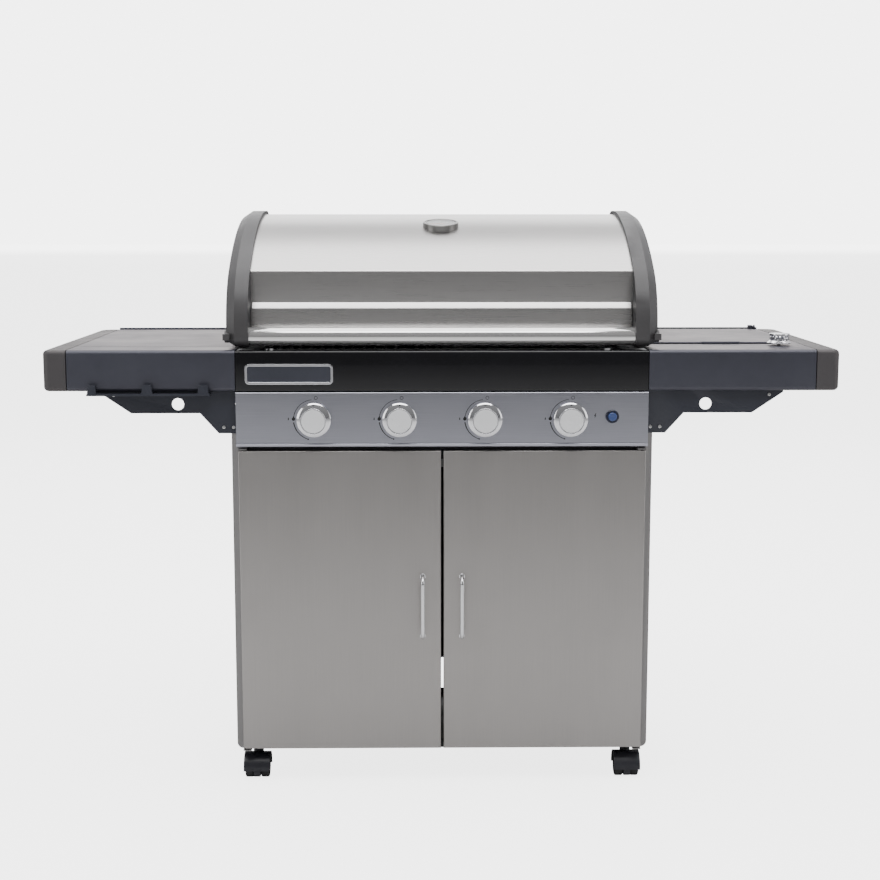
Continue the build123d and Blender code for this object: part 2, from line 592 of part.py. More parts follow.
INLET_X = 340.0
with BuildPart() as gas_manifold:
    with Locations(((INLET_X - 290) / 2, MANIFOLD_Y, MANIFOLD_Z)):
        Cylinder(MANIFOLD / 2, INLET_X + 290, rotation=(0, 90, 0))
    with Locations((INLET_X, MANIFOLD_Y, MANIFOLD_Z)):
        Sphere(MANIFOLD / 2 + 1)
    with BuildSketch(Plane.XY.offset(MANIFOLD_Z)):
        with Locations((INLET_X, MANIFOLD_Y)):
            Circle(MANIFOLD / 2 - 1)
    extrude(amount=-20)
    with BuildSketch(Plane.XY.offset(MANIFOLD_Z - 20)):
        with Locations((INLET_X, MANIFOLD_Y)):
            RegularPolygon(10, 6)
    extrude(amount=-8)
    with BuildSketch(Plane.XY.offset(MANIFOLD_Z - 28)):
        with Locations((INLET_X, MANIFOLD_Y)):
            Circle(5)
    extrude(amount=-18)
    with BuildSketch(Plane.XY.offset(MANIFOLD_Z - 46)):
        with Locations((INLET_X, MANIFOLD_Y)):
            Circle(3)
    extrude(amount=40, mode=Mode.SUBTRACT)
save(gas_manifold, "gas_manifold")


def stem_sketch(clearance):
    """D-shaped section of a valve stem, or of the bore that fits it."""
    with BuildSketch() as section:
        Circle(STEM / 2 + clearance)
        with Locations((0, STEM_FLAT + clearance + STEM / 2)):
            Rectangle(2 * STEM, STEM, mode=Mode.SUBTRACT)
    return section.sketch


def knob_form(skirt, drum, waist, depth):
    """A chromed knob on +Z: round skirt, ribbed waist and a dished front disc."""
    with BuildPart() as form:
        with BuildSketch(Plane.XZ):
            with BuildLine():
                Polyline((0, 0), (skirt / 2 - 1, 0), (skirt / 2, 1.5), (drum / 2 + 1, 5), (waist / 2, 6),
                         (waist / 2, depth - 7), (drum / 2, depth - 4), (drum / 2, depth - 1.5),
                         (drum / 2 - 2, depth), (drum / 2 - 4, depth - 0.8), (0, depth - 0.8), close=True)
            make_face()
        revolve(axis=Axis.Z)
        with BuildSketch(Plane.XY.offset(4)):
            with PolarLocations((drum + waist) / 4 - 0.5, KNOB_RIBS):
                Rectangle((drum - waist) / 2 + 1, 5)
        extrude(amount=depth - 8)
    return form.part


knob_solid = knob_form(KNOB_SKIRT, KNOB_DRUM, KNOB_WAIST, KNOB_DEPTH)
side_knob_solid = knob_form(KNOB_SKIRT * SIDE_KNOB_SCALE, KNOB_DRUM * SIDE_KNOB_SCALE + 6,
                            KNOB_WAIST * SIDE_KNOB_SCALE + 4, KNOB_DEPTH - 3)

for number, x in enumerate(KNOB_X, start=1):
    knob_plane = Plane(origin=(x, FRONT_FACE - KNOB_GAP, KNOB_Z), x_dir=(1, 0, 0), z_dir=(0, -1, 0))
    with BuildPart() as valve_stem:
        with BuildSketch(Plane(origin=(x, stem_back, KNOB_Z), x_dir=(1, 0, 0), z_dir=(0, -1, 0))):
            Circle(STEM / 2)
        extrude(amount=stem_back - FRONT_FACE)
        with BuildSketch(Plane(origin=(x, FRONT_FACE, KNOB_Z), x_dir=(1, 0, 0), z_dir=(0, -1, 0))):
            add(stem_sketch(0))
        extrude(amount=FRONT_FACE - stem_front)
    save(valve_stem, f"valve_stem_{number}")
    with BuildPart() as burner_knob:
        add(knob_plane.location * knob_solid)
        with BuildSketch(knob_plane):
            add(stem_sketch(PIN_FIT))
        extrude(amount=14 + KNOB_TRAVEL + 1, mode=Mode.SUBTRACT)
    save(burner_knob, f"burner_knob_{number}")

side_knob_z = TABLE_TOP + KNOB_GAP
with BuildPart() as side_stem:
    with BuildSketch(Plane.XY.offset(TABLE_TOP - TABLE_WALL - 34)):
        with Locations((SIDE_KNOB_X, SIDE_KNOB_Y)):
            Circle(STEM / 2)
    extrude(amount=TABLE_WALL + 34)
    with BuildSketch(Plane.XY.offset(TABLE_TOP)):
        with Locations((SIDE_KNOB_X, SIDE_KNOB_Y)):
            add(stem_sketch(0))
    extrude(amount=KNOB_GAP + 11)
save(side_stem, "side_stem")

with BuildPart() as side_knob:
    add(Location((SIDE_KNOB_X, SIDE_KNOB_Y, side_knob_z)) * side_knob_solid)
    with BuildSketch(Plane.XY.offset(side_knob_z)):
        with Locations((SIDE_KNOB_X, SIDE_KNOB_Y)):
            add(stem_sketch(PIN_FIT))
    extrude(amount=11 + KNOB_TRAVEL + 1, mode=Mode.SUBTRACT)
save(side_knob, "side_burner_knob")

# ================================================================ side tables
# Each table is a pressed tray upside down: a top with a groove behind the front rim
# and a raised rear edge, and deep aprons all round.
groove_y = FRONT_FACE + RIM_DEPTH


def table_body():
    """The right-hand table without its openings."""
    with BuildPart() as table:
        block(TABLE_INNER, TABLE_SEAM, FRONT_FACE, TABLE_BACK, TABLE_LOW, TABLE_TOP)
        front_edges = table.edges().filter_by(Axis.X).group_by(Axis.Y)[0]
        fillet(front_edges, TABLE_EDGE)
        block(TABLE_INNER, TABLE_SEAM, TABLE_BACK - 8, TABLE_BACK, TABLE_TOP, TABLE_TOP + BACK_RIM)
        with BuildSketch(Plane.YZ.offset(TABLE_INNER + TABLE_WALL)):
            with BuildLine():
                y0 = FRONT_FACE + TABLE_WALL
                y1 = TABLE_BACK - TABLE_WALL
                z1 = TABLE_TOP - TABLE_WALL
                bend = TABLE_EDGE - TABLE_WALL
                z0 = TABLE_LOW + TABLE_WALL
                back_lip = FRONT_FACE + TABLE_RETURN
                RadiusArc((y0, z0 + bend), (y0 + bend, z0), -bend)
                Polyline((y0 + bend, z0), (back_lip, z0), (back_lip, TABLE_LOW - 1), (y1, TABLE_LOW - 1), (y1, z1),
                         (y0 + bend, z1))
                RadiusArc((y0 + bend, z1), (y0, z1 - bend), -bend)
                Line((y0, z1 - bend), (y0, z0 + bend))
            make_face()
        extrude(amount=TABLE_SEAM - TABLE_INNER - 2 * TABLE_WALL, mode=Mode.SUBTRACT)
        block(TABLE_INNER - 1, TABLE_SEAM - 8, groove_y, groove_y + GROOVE, TABLE_TOP - 1.1, TABLE_TOP + 1,
              mode=Mode.SUBTRACT)
    return table.part


plain_table = table_body()

with BuildPart() as left_table_top:
    mirror(plain_table, about=Plane.YZ)
save(left_table_top, "left_table_top")

bowl_x0 = LID_INNER + BOWL_INSET
bowl_x1 = LID_OUTER - BOWL_INSET
bowl_y0 = LID_FRONT + BOWL_INSET - 5
bowl_y1 = LID_BACK - BOWL_INSET + 5
ear = (LID_AXIS_Z - TABLE_TOP) * 0.85
with BuildPart() as right_table_top:
    add(plain_table)
    block(bowl_x0, bowl_x1, bowl_y0, bowl_y1, TABLE_TOP - 2 * TABLE_WALL, TABLE_TOP + 1,
          mode=Mode.SUBTRACT)
    with BuildSketch(Plane.XY.offset(TABLE_TOP - 2 * TABLE_WALL)):
        with Locations((SIDE_KNOB_X, SIDE_KNOB_Y)):
            Circle(STEM / 2 + 2)
    extrude(amount=3 * TABLE_WALL, mode=Mode.SUBTRACT)
    # lugs and pins of the lid's hinge, outside the lid's ears
    for x0, x1, tip in ((LID_INNER - 7, LID_INNER - 2, LID_INNER + 8),
                        (LID_OUTER - 2 + 4, LID_OUTER + 6, LID_OUTER - 8)):
        block(x0, x1, LID_AXIS_Y - ear, LID_AXIS_Y + ear, TABLE_TOP, LID_AXIS_Z + ear)
        with Locations(((x0 + tip) / 2, LID_AXIS_Y, LID_AXIS_Z)):
            Cylinder(LID_PIN / 2, abs(tip - x0), rotation=(0, 90, 0))
save(right_table_top, "right_table_top")

# End caps: moulded covers, a little narrower towards the rear.
CAP_CORNER = 14.0
CAP_TAPER = 5.0
with BuildPart() as right_table_end_cap:
    with BuildSketch(Plane.XY.offset(TABLE_LOW)):
        with BuildLine():
            Polyline((TABLE_SEAM, FRONT_FACE), (TABLE_END, FRONT_FACE), (TABLE_END - CAP_TAPER, TABLE_BACK),
                     (TABLE_SEAM, TABLE_BACK), close=True)
        outline_face = make_face()
        fillet([v for v in outline_face.vertices() if v.X > TABLE_SEAM + 1], CAP_CORNER)
    extrude(amount=TABLE_TOP - TABLE_LOW)
    rim_edges = right_table_end_cap.faces().sort_by(Axis.Z)[-1].edges()
    rim_edges += right_table_end_cap.faces().sort_by(Axis.Z)[0].edges()
    fillet([e for e in rim_edges if e.center().X > TABLE_SEAM + 1], TABLE_EDGE)
    with BuildSketch(Plane.XY.offset(TABLE_LOW + 3)):
        offset(outline_face, amount=-3)
    extrude(amount=TABLE_TOP - TABLE_LOW - 6, mode=Mode.SUBTRACT)
    # the lower edge turns in under the cover
    block(TABLE_SEAM + 3, TABLE_END - 6 - TABLE_RETURN, FRONT_FACE + TABLE_RETURN, TABLE_BACK - TABLE_RETURN,
          TABLE_LOW - 1, TABLE_LOW + 4, mode=Mode.SUBTRACT)
save(right_table_end_cap, "right_table_end_cap")
left_table_end_cap = mirrored(right_table_end_cap, "left_table_end_cap")

# Stepped brackets between cart and table, one behind the front apron, one at the rear.
with BuildPart() as table_brackets:
    # the rear pair stays below the bowl of the side burner
    for y, top in ((BRACKET_FRONT, TABLE_TOP - TABLE_WALL - 1), (BRACKET_REAR, TABLE_TOP - BOWL_DEPTH - 3)):
        with BuildSketch(Plane.XZ.offset(-y)):
            with BuildLine():
                inside = TABLE_INNER + TABLE_WALL
                foot = CART_TOP - BRACKET_DROP
                step = CART_TOP - BRACKET_STEP
                toe, rise, fall, tip = [CART_HALF + reach for reach in BRACKET_REACH]
                outside = [(toe, foot), (rise, step), (fall, step), (tip, TABLE_LOW - 4), (tip, top), (inside, top)]
                # the front pair laps over the cart's front return, the rear pair stops at its side
                if y < 0:
                    Polyline((inside, foot), *outside, close=True)
                else:
                    Polyline((CART_HALF, foot), *outside, (inside, CART_TOP), (CART_HALF, CART_TOP), close=True)
            make_face()
            with Locations((CART_HALF + BRACKET_HOLE_OUT, CART_TOP + BRACKET_HOLE_UP)):
                Circle(BRACKET_HOLE / 2, mode=Mode.SUBTRACT)
        extrude(amount=-BRACKET_SHEET)
    mirror(about=Plane.YZ)
save(table_brackets, "table_brackets")

# Tool rail below the front edge of the left table, with three upturned hooks.
RAIL_SHEET = 4.0
RAIL_Z = TABLE_LOW - 2 * RAIL_SHEET
RAIL_ENDS = (51.0, 303.0)           # from the table's inner edge, as are the hooks
RAIL_HOOKS = ((292, 10), (179, 12), (64, 12))
with BuildPart() as tool_rail:
    rail_in, rail_out = [-TABLE_INNER - end for end in RAIL_ENDS]
    block(rail_out, rail_in, FRONT_FACE - 12, FRONT_FACE + TABLE_RETURN, RAIL_Z, RAIL_Z + RAIL_SHEET)
    block(rail_out, rail_in, FRONT_FACE + TABLE_EDGE, FRONT_FACE + TABLE_RETURN, RAIL_Z + RAIL_SHEET, TABLE_LOW)
    with BuildSketch(Plane.XZ.offset(-FRONT_FACE + 12)):
        for x, half in [(-TABLE_INNER - place, half) for place, half in RAIL_HOOKS]:
            with BuildLine():
                Polyline((x - half, RAIL_Z), (x + half, RAIL_Z), (x + half - 3, RAIL_Z + 23),
                         (x - half + 3, RAIL_Z + 23), close=True)
            make_face()
    extrude(amount=-3)
save(tool_rail, "tool_rail")

# ================================================================ side burner
burner_x = (bowl_x0 + bowl_x1) / 2
burner_y = (bowl_y0 + bowl_y1) / 2
bowl_floor = TABLE_TOP - BOWL_DEPTH
with BuildPart() as side_burner_bowl:
    block(bowl_x0 + 1, bowl_x1 - 1, bowl_y0 + 1, bowl_y1 - 1, bowl_floor, TABLE_TOP)
    fillet(side_burner_bowl.edges().filter_by(Axis.Z), 18)
    block(bowl_x0 - 6, bowl_x1 + 6, bowl_y0 - 5, bowl_y1 + 5, TABLE_TOP, TABLE_TOP + THIN_SHEET)
    with BuildSketch(Plane.XY.offset(bowl_floor + THIN_SHEET)):
        with Locations((burner_x, burner_y)):
            RectangleRounded(bowl_x1 - bowl_x0 - 2 - 2 * THIN_SHEET, bowl_y1 - bowl_y0 - 2 - 2 * THIN_SHEET,
                             18 - THIN_SHEET)
    extrude(amount=BOWL_DEPTH + 5, mode=Mode.SUBTRACT)
    with Locations((burner_x, burner_y, bowl_floor)):
        Cylinder(16, 8, mode=Mode.SUBTRACT)
save(side_burner_bowl, "side_burner_bowl")

with BuildPart() as side_burner_head:
    with BuildSketch(Plane.XZ) as section:
        with BuildLine():
            Polyline((0, -20), (15, -20), (15, THIN_SHEET), (38, THIN_SHEET), (38, 8), (33, 22), (28, 22),
                     (28, 10), (10, 10), (10, -14), (0, -14), close=True)
        make_face()
    revolve(axis=Axis.Z)
    with PolarLocations(32, 24):
        with Locations((0, 0, 19)):
            Box(14, 2.4, 7, mode=Mode.SUBTRACT)
side_burner_head.part.locate(Location((burner_x, burner_y, bowl_floor)))
save(side_burner_head, "side_burner_head")

with BuildPart() as side_burner_cap:
    with BuildSketch(Plane.XZ):
        with BuildLine():
            Polyline((0, 22), (35, 22), (36, 24), (35, 27), (20, 29), (0, 29), close=True)
        make_face()
    revolve(axis=Axis.Z)
side_burner_cap.part.locate(Location((burner_x, burner_y, bowl_floor)))
save(side_burner_cap, "side_burner_cap")

SUPPORT_HALF = 105.0
SUPPORT_BAR = 6.0
with BuildPart() as pan_support:
    with BuildSketch(Plane.XY.offset(TABLE_TOP - 18)):
        with Locations((burner_x, burner_y)):
            Rectangle(2 * SUPPORT_HALF, 2 * SUPPORT_HALF)
            Rectangle(2 * SUPPORT_HALF - 2 * SUPPORT_BAR, 2 * SUPPORT_HALF - 2 * SUPPORT_BAR,
                      mode=Mode.SUBTRACT)
            with PolarLocations(SUPPORT_HALF / 2 + 12, 4):
                Rectangle(SUPPORT_HALF - 20, SUPPORT_BAR)
    extrude(amount=SUPPORT_BAR + 2)
    with Locations((burner_x, burner_y, (bowl_floor + THIN_SHEET + TABLE_TOP - 18) / 2)):
        with GridLocations(2 * SUPPORT_HALF - SUPPORT_BAR, 2 * SUPPORT_HALF - SUPPORT_BAR, 2, 2):
            Box(SUPPORT_BAR, SUPPORT_BAR, TABLE_TOP - 18 - bowl_floor - THIN_SHEET)
save(pan_support, "pan_support")

# Lid: a shallow pan with a raised finger lip at the front and two hinge ears.
lip_x = (LID_INNER + LID_OUTER) / 2
with BuildPart() as side_burner_lid:
    block(LID_INNER, LID_OUTER, LID_FRONT, LID_BACK, LID_LOW, LID_TOP)
    fillet(side_burner_lid.faces().sort_by(Axis.Z)[-1].edges(), 2)
    block(lip_x - LIP_WIDTH / 2, lip_x + LIP_WIDTH / 2, LID_FRONT - 5, LID_FRONT + 26, LID_LOW, LID_TOP + 4)
    fillet(side_burner_lid.faces().sort_by(Axis.Z)[-1].edges(), 2)
    block(LID_INNER + THIN_SHEET, LID_OUTER - THIN_SHEET, LID_FRONT + THIN_SHEET, LID_BACK - THIN_SHEET,
          LID_LOW - 1, LID_TOP - THIN_SHEET, mode=Mode.SUBTRACT)
    block(lip_x - LIP_WIDTH / 2 + 2, lip_x + LIP_WIDTH / 2 - 2, LID_FRONT - 6, LID_FRONT + 24,
          LID_LOW - 1, LID_TOP + 2.5, mode=Mode.SUBTRACT)
    for x0 in (LID_INNER + 0.5, LID_OUTER - 10.5):
        block(x0, x0 + 10, LID_BACK - 4, LID_AXIS_Y, LID_LOW + 0.5, LID_AXIS_Z + 5)
        with Locations((x0 + 5, LID_AXIS_Y, LID_AXIS_Z)):
            Cylinder(EAR, 10, rotation=(0, 90, 0))
    with Locations(((LID_INNER + LID_OUTER) / 2, LID_AXIS_Y, LID_AXIS_Z)):
        Cylinder(LID_PIN / 2 + PIN_FIT, LID_OUTER - LID_INNER + 40, rotation=(0, 90, 0), mode=Mode.SUBTRACT)
save(side_burner_lid, "side_burner_lid")

# ================================================================ hood
# Side view: an upright front, a shallow dome, a rounded rear corner and an upright
# back. The same outline, moved in or out, gives shell, end caps and their hollows.
dome_centre_z = DOME_TOP - DOME_RADIUS


def dome_outline(proud, low):
    """Side view of the hood (across = Y, up = Z), moved outwards by 'proud'."""
    front_y = CREASE_Y - proud
    back_y = HOOD_BACK + proud
    dome_r = DOME_RADIUS + proud
    rear_r = HOOD_REAR_RADIUS + proud
    rear_centre_y = back_y - rear_r
    span = dome_r - rear_r
    rear_centre_z = dome_centre_z + sqrt(span ** 2 - (rear_centre_y - DOME_TOP_Y) ** 2)
    lean = (rear_centre_y - DOME_TOP_Y) / span
    join = (DOME_TOP_Y + dome_r * lean, dome_centre_z + dome_r * sqrt(1 - lean ** 2))
    crease = (front_y, dome_centre_z + sqrt(dome_r ** 2 - (front_y - DOME_TOP_Y) ** 2))
    with BuildSketch() as region:
        with BuildLine():
            Line((front_y, low), crease)
            ThreePointArc(crease, (DOME_TOP_Y, dome_centre_z + dome_r), join)
            turn = radians(45)
            ThreePointArc(join, (rear_centre_y + rear_r * sin(turn), rear_centre_z + rear_r * cos(turn)),
                          (back_y, rear_centre_z))
            Polyline((back_y, rear_centre_z), (back_y, low), (front_y, low))
        make_face()
    return region.sketch


def cap_outline():
    """Outline of an end cap: the dome moved out, a bulging front and a round nose."""
    dome_r = DOME_RADIUS + CAP_PROUD
    back_y = HOOD_BACK + CAP_PROUD
    rear_r = HOOD_REAR_RADIUS + CAP_PROUD
    rear_centre_y = back_y - rear_r
    span = dome_r - rear_r
    rear_centre_z = dome_centre_z + sqrt(span ** 2 - (rear_centre_y - DOME_TOP_Y) ** 2)
    lean = (rear_centre_y - DOME_TOP_Y) / span
    join = (DOME_TOP_Y + dome_r * lean, dome_centre_z + dome_r * sqrt(1 - lean ** 2))
    # the rounding of the front is no larger than leaves an upright stretch above the nose
    across, up = CAP_FRONT - DOME_TOP_Y, CAP_LOW + NOSE + 10 - dome_centre_z
    front_r = min(CAP_FRONT_RADIUS, (dome_r ** 2 - across ** 2 - up ** 2) / (2 * (dome_r + across)))
    front_span = dome_r - front_r
    front_centre_y = CAP_FRONT + front_r
    front_centre_z = dome_centre_z + sqrt(front_span ** 2 - (front_centre_y - DOME_TOP_Y) ** 2)
    front_lean = (front_centre_y - DOME_TOP_Y) / front_span
    front_join = (DOME_TOP_Y + dome_r * front_lean, dome_centre_z + dome_r * sqrt(1 - front_lean ** 2))
    half = radians(55)
    nose_z = CAP_LOW + NOSE
    with BuildSketch() as region:
        with BuildLine():
            ThreePointArc((CAP_FRONT + NOSE, CAP_LOW),
                          (CAP_FRONT + NOSE - NOSE * sin(radians(45)), nose_z - NOSE * cos(radians(45))),
                          (CAP_FRONT, nose_z))
            Line((CAP_FRONT, nose_z), (CAP_FRONT, front_centre_z))
            ThreePointArc((CAP_FRONT, front_centre_z),
                          (front_centre_y - front_r * cos(half / 2),
                           front_centre_z + front_r * sin(half / 2)), front_join)
            ThreePointArc(front_join, (DOME_TOP_Y, dome_centre_z + dome_r), join)
            turn = radians(45)
            ThreePointArc(join, (rear_centre_y + rear_r * sin(turn), rear_centre_z + rear_r * cos(turn)),
                          (back_y, rear_centre_z))
            Line((back_y, rear_centre_z), (back_y, hinge_z))
            ThreePointArc((back_y, hinge_z),
                          (hinge_y + HINGE_CORNER * sin(turn), hinge_z - HINGE_CORNER * cos(turn)),
                          (hinge_y, CAP_LOW))
            Line((hinge_y, CAP_LOW), (CAP_FRONT + NOSE, CAP_LOW))
        make_face()
    return region.sketch


hinge_y = HOOD_BACK + CAP_PROUD - HINGE_CORNER
hinge_z = CAP_LOW + HINGE_CORNER
tube_y = CAP_FRONT + NOSE
tube_z = CAP_LOW + NOSE

shell_outside = dome_outline(0, HOOD_LOW)
shell_inside = dome_outline(-THIN_SHEET, HOOD_LOW - 1)
gauge_y = DOME_TOP_Y - DOME_RADIUS * sin(radians(GAUGE_PLACE))
gauge_z = dome_centre_z + DOME_RADIUS * cos(radians(GAUGE_PLACE))
gauge_plane = Plane(origin=(0, gauge_y, gauge_z), x_dir=(1, 0, 0),
                    z_dir=(0, -sin(radians(GAUGE_TILT)), cos(radians(GAUGE_TILT))))

with BuildPart() as hood_shell:
    with BuildSketch(Plane.YZ):
        add(shell_outside)
    extrude(amount=HOOD_HALF, both=True)
    emboss_half = HOOD_HALF - EMBOSS_MARGIN
    with BuildSketch(Plane.YZ):
        with BuildLine():
            Polyline((CREASE_Y + 1, HOOD_LOW), (CREASE_Y - EMBOSS_DEPTH, HOOD_LOW),
                     (CREASE_Y - EMBOSS_DEPTH, EMBOSS_LOW), (CREASE_Y, EMBOSS_TOP), (CREASE_Y + 1, EMBOSS_TOP),
                     close=True)
        make_face()
    extrude(amount=emboss_half, both=True)
    with BuildSketch(Plane.YZ):
        add(shell_inside)
    extrude(amount=HOOD_HALF + 1, both=True, mode=Mode.SUBTRACT)
    with BuildSketch(Plane.YZ):
        with BuildLine():
            Polyline((CREASE_Y + 2 * THIN_SHEET, HOOD_LOW - 1),
                     (CREASE_Y - EMBOSS_DEPTH + THIN_SHEET, HOOD_LOW - 1),
                     (CREASE_Y - EMBOSS_DEPTH + THIN_SHEET, EMBOSS_LOW - THIN_SHEET / 2),
                     (CREASE_Y + THIN_SHEET, EMBOSS_TOP - THIN_SHEET / 2),
                     (CREASE_Y + 2 * THIN_SHEET, EMBOSS_TOP - THIN_SHEET / 2), close=True)
        make_face()
    extrude(amount=emboss_half - THIN_SHEET, both=True, mode=Mode.SUBTRACT)
    with BuildSketch(gauge_plane.offset(-5)):
        Circle(GAUGE_STEM / 2 + 1)
    extrude(amount=10, mode=Mode.SUBTRACT)
save(hood_shell, "hood_shell")

# End cap, cast: bevelled outside, hollow inside, a boss round the hinge pin and a
# seat for the handle's bolt. Its rear corner turns about the pin.
lug_out = HOOD_HALF + 14
cap_outer = HOOD_HALF + CAP_WIDTH + CAP_BEVEL
with BuildPart() as hood_end_cap_right:
    with BuildSketch(Plane.YZ.offset(HOOD_HALF)):
        add(cap_outline())
    extrude(amount=CAP_WIDTH + CAP_BEVEL)
    outer_face = hood_end_cap_right.faces().sort_by(Axis.X)[-1]
    chamfer(outer_face.edges(), length=CAP_BEVEL_IN, length2=CAP_BEVEL, reference=outer_face)
    with BuildSketch(Plane.YZ.offset(HOOD_HALF)):
        add(dome_outline(CAP_PROUD - CAP_RIM, CAP_LOW - 5))
    extrude(amount=CAP_WIDTH + CAP_BEVEL - CAP_WALL, mode=Mode.SUBTRACT)
    # room for the hinge lug while the rear corner turns past it
    block(HOOD_HALF - 1, lug_out + 2, hinge_y - HINGE_CORNER - 8, HOOD_BACK + CAP_PROUD + 1, CAP_LOW - 5,
          hinge_z + 30, mode=Mode.SUBTRACT)
    with Locations(((lug_out + 2 + cap_outer - 1) / 2, hinge_y, hinge_z)):
        Cylinder(10, cap_outer - lug_out - 3, rotation=(0, 90, 0))
    with BuildSketch(Plane.YZ.offset(HOOD_HALF)):
        with Locations((hinge_y, hinge_z)):
            Circle(HINGE_PIN / 2 + PIN_FIT)
    extrude(amount=CAP_WIDTH + CAP_BEVEL + 5, mode=Mode.SUBTRACT)
    # boss round the handle's bolt; the seat is cut open towards the front
    with BuildSketch(Plane.YZ.offset(cap_outer - 10)):
        with Locations((tube_y, tube_z)):
            Circle(BOLT_BOSS / 2)
    extrude(amount=10 + BOLT_BOSS_PROUD)
    with BuildSketch(Plane.YZ.offset(cap_outer + BOLT_BOSS_PROUD)):
        with Locations((tube_y, tube_z)):
            Circle(BOLT_SEAT / 2)
        with Locations((tube_y - BOLT_BOSS / 2, tube_z)):
            Rectangle(BOLT_BOSS, BOLT_SEAT)
    extrude(amount=-BOLT_BOSS_PROUD - 8, mode=Mode.SUBTRACT)
save(hood_end_cap_right, "hood_end_cap_right")
hood_end_cap_left = mirrored(hood_end_cap_right, "hood_end_cap_left")

with BuildPart() as hood_handle:
    with BuildSketch(Plane.YZ):
        with Locations((tube_y, tube_z)):
            Circle(TUBE / 2)
            Circle(TUBE / 2 - TUBE_WALL, mode=Mode.SUBTRACT)
    extrude(amount=HOOD_HALF, both=True)
save(hood_handle, "hood_handle")

# Hinge lugs on the rear flange of the cooking box, each with its pin.
with BuildPart() as hood_hinge_pins:
    with BuildSketch(Plane.YZ.offset(HOOD_HALF + 6)):
        with BuildLine():
            Polyline((hinge_y - 16, BOX_TOP), (hinge_y + 16, BOX_TOP), (hinge_y + 9, hinge_z),
                     (hinge_y - 9, hinge_z), close=True)
        make_face()
        with Locations((hinge_y, hinge_z)):
            Circle(9)
    extrude(amount=6)
    block(HOOD_HALF - 8, HOOD_HALF + 12, hinge_y - 16, hinge_y + 16, BOX_TOP, BOX_TOP + 3)
    with BuildSketch(Plane.YZ.offset(HOOD_HALF + 6)):
        with Locations((hinge_y, hinge_z)):
            Circle(HINGE_PIN / 2)
    extrude(amount=CAP_WIDTH + CAP_BEVEL - 6 + 1)
    with BuildSketch(Plane.YZ.offset(cap_outer + 0.5)):
        with Locations((hinge_y, hinge_z)):
            Circle(6.5)
    extrude(amount=3)
    mirror(about=Plane.YZ)
save(hood_hinge_pins, "hood_hinge_pins")

# ================================================================ thermometer
with BuildPart() as thermometer_case:
    with BuildSketch(gauge_plane.offset(-8)):
        Circle(GAUGE / 2)
    extrude(amount=GAUGE_HEIGHT + 8)
    fillet(thermometer_case.faces().sort_by(Axis.Z)[-1].edges(), 3)
    with Locations((0, DOME_TOP_Y, dome_centre_z)):
        Cylinder(DOME_RADIUS + 0.1, 4 * GAUGE, rotation=(0, 90, 0), mode=Mode.SUBTRACT)
    with BuildSketch(gauge_plane.offset(GAUGE_HEIGHT - 6)):
        Circle(GAUGE_DIAL / 2)
    extrude(amount=10, mode=Mode.SUBTRACT)
    with BuildSketch(gauge_plane.offset(GAUGE_HEIGHT - 7)):
        Circle(1.5)
    extrude(amount=3.2)
    with BuildSketch(gauge_plane.offset(-55)):
        Circle(GAUGE_STEM / 2)
    extrude(amount=57)
save(thermometer_case, "thermometer_case")

with BuildPart() as thermometer_glass:
    with BuildSketch(gauge_plane.offset(GAUGE_HEIGHT - 2.5)):
        Circle(GAUGE_DIAL / 2)
    extrude(amount=1.5)
save(thermometer_glass, "thermometer_glass")

with BuildPart() as thermometer_needle:
    with BuildSketch(gauge_plane.offset(GAUGE_HEIGHT - 5.2)):
        Circle(3.5)
        with BuildLine():
            Polyline((0, -1.6), (-27, -0.5), (-27, 0.5), (0, 1.6), (9, 1.2), (9, -1.2), close=True)
        make_face()
        Circle(1.5 + PIN_FIT, mode=Mode.SUBTRACT)
    extrude(amount=0.8)
save(thermometer_needle, "thermometer_needle")

# ================================================================ casters
# Twin-wheel casters: a moulded body with a web between the wheels and a hood over
# them, a stem that turns in the cart's foot, and two wheels on one axle.
hood_r = WHEEL / 2 + 5
body_top = CART_BOTTOM - CASTER_PLATE - 0.4
stations = []
for y, trail in ((CASTER_FRONT, -CASTER_TRAIL), (CASTER_REAR, CASTER_TRAIL)):
    for x in (-CASTER_X, CASTER_X):
        stations.append((x, y, trail))

with BuildPart() as caster_plates:
    for x, y, trail in stations:
        with BuildSketch(Plane.XY.offset(CART_BOTTOM - CASTER_PLATE)):
            with Locations((x, y)):
                RectangleRounded(54, 54, 6)
                Circle(CASTER_STEM / 2 + PIN_FIT, mode=Mode.SUBTRACT)
        extrude(amount=CASTER_PLATE)
save(caster_plates, "caster_plates")

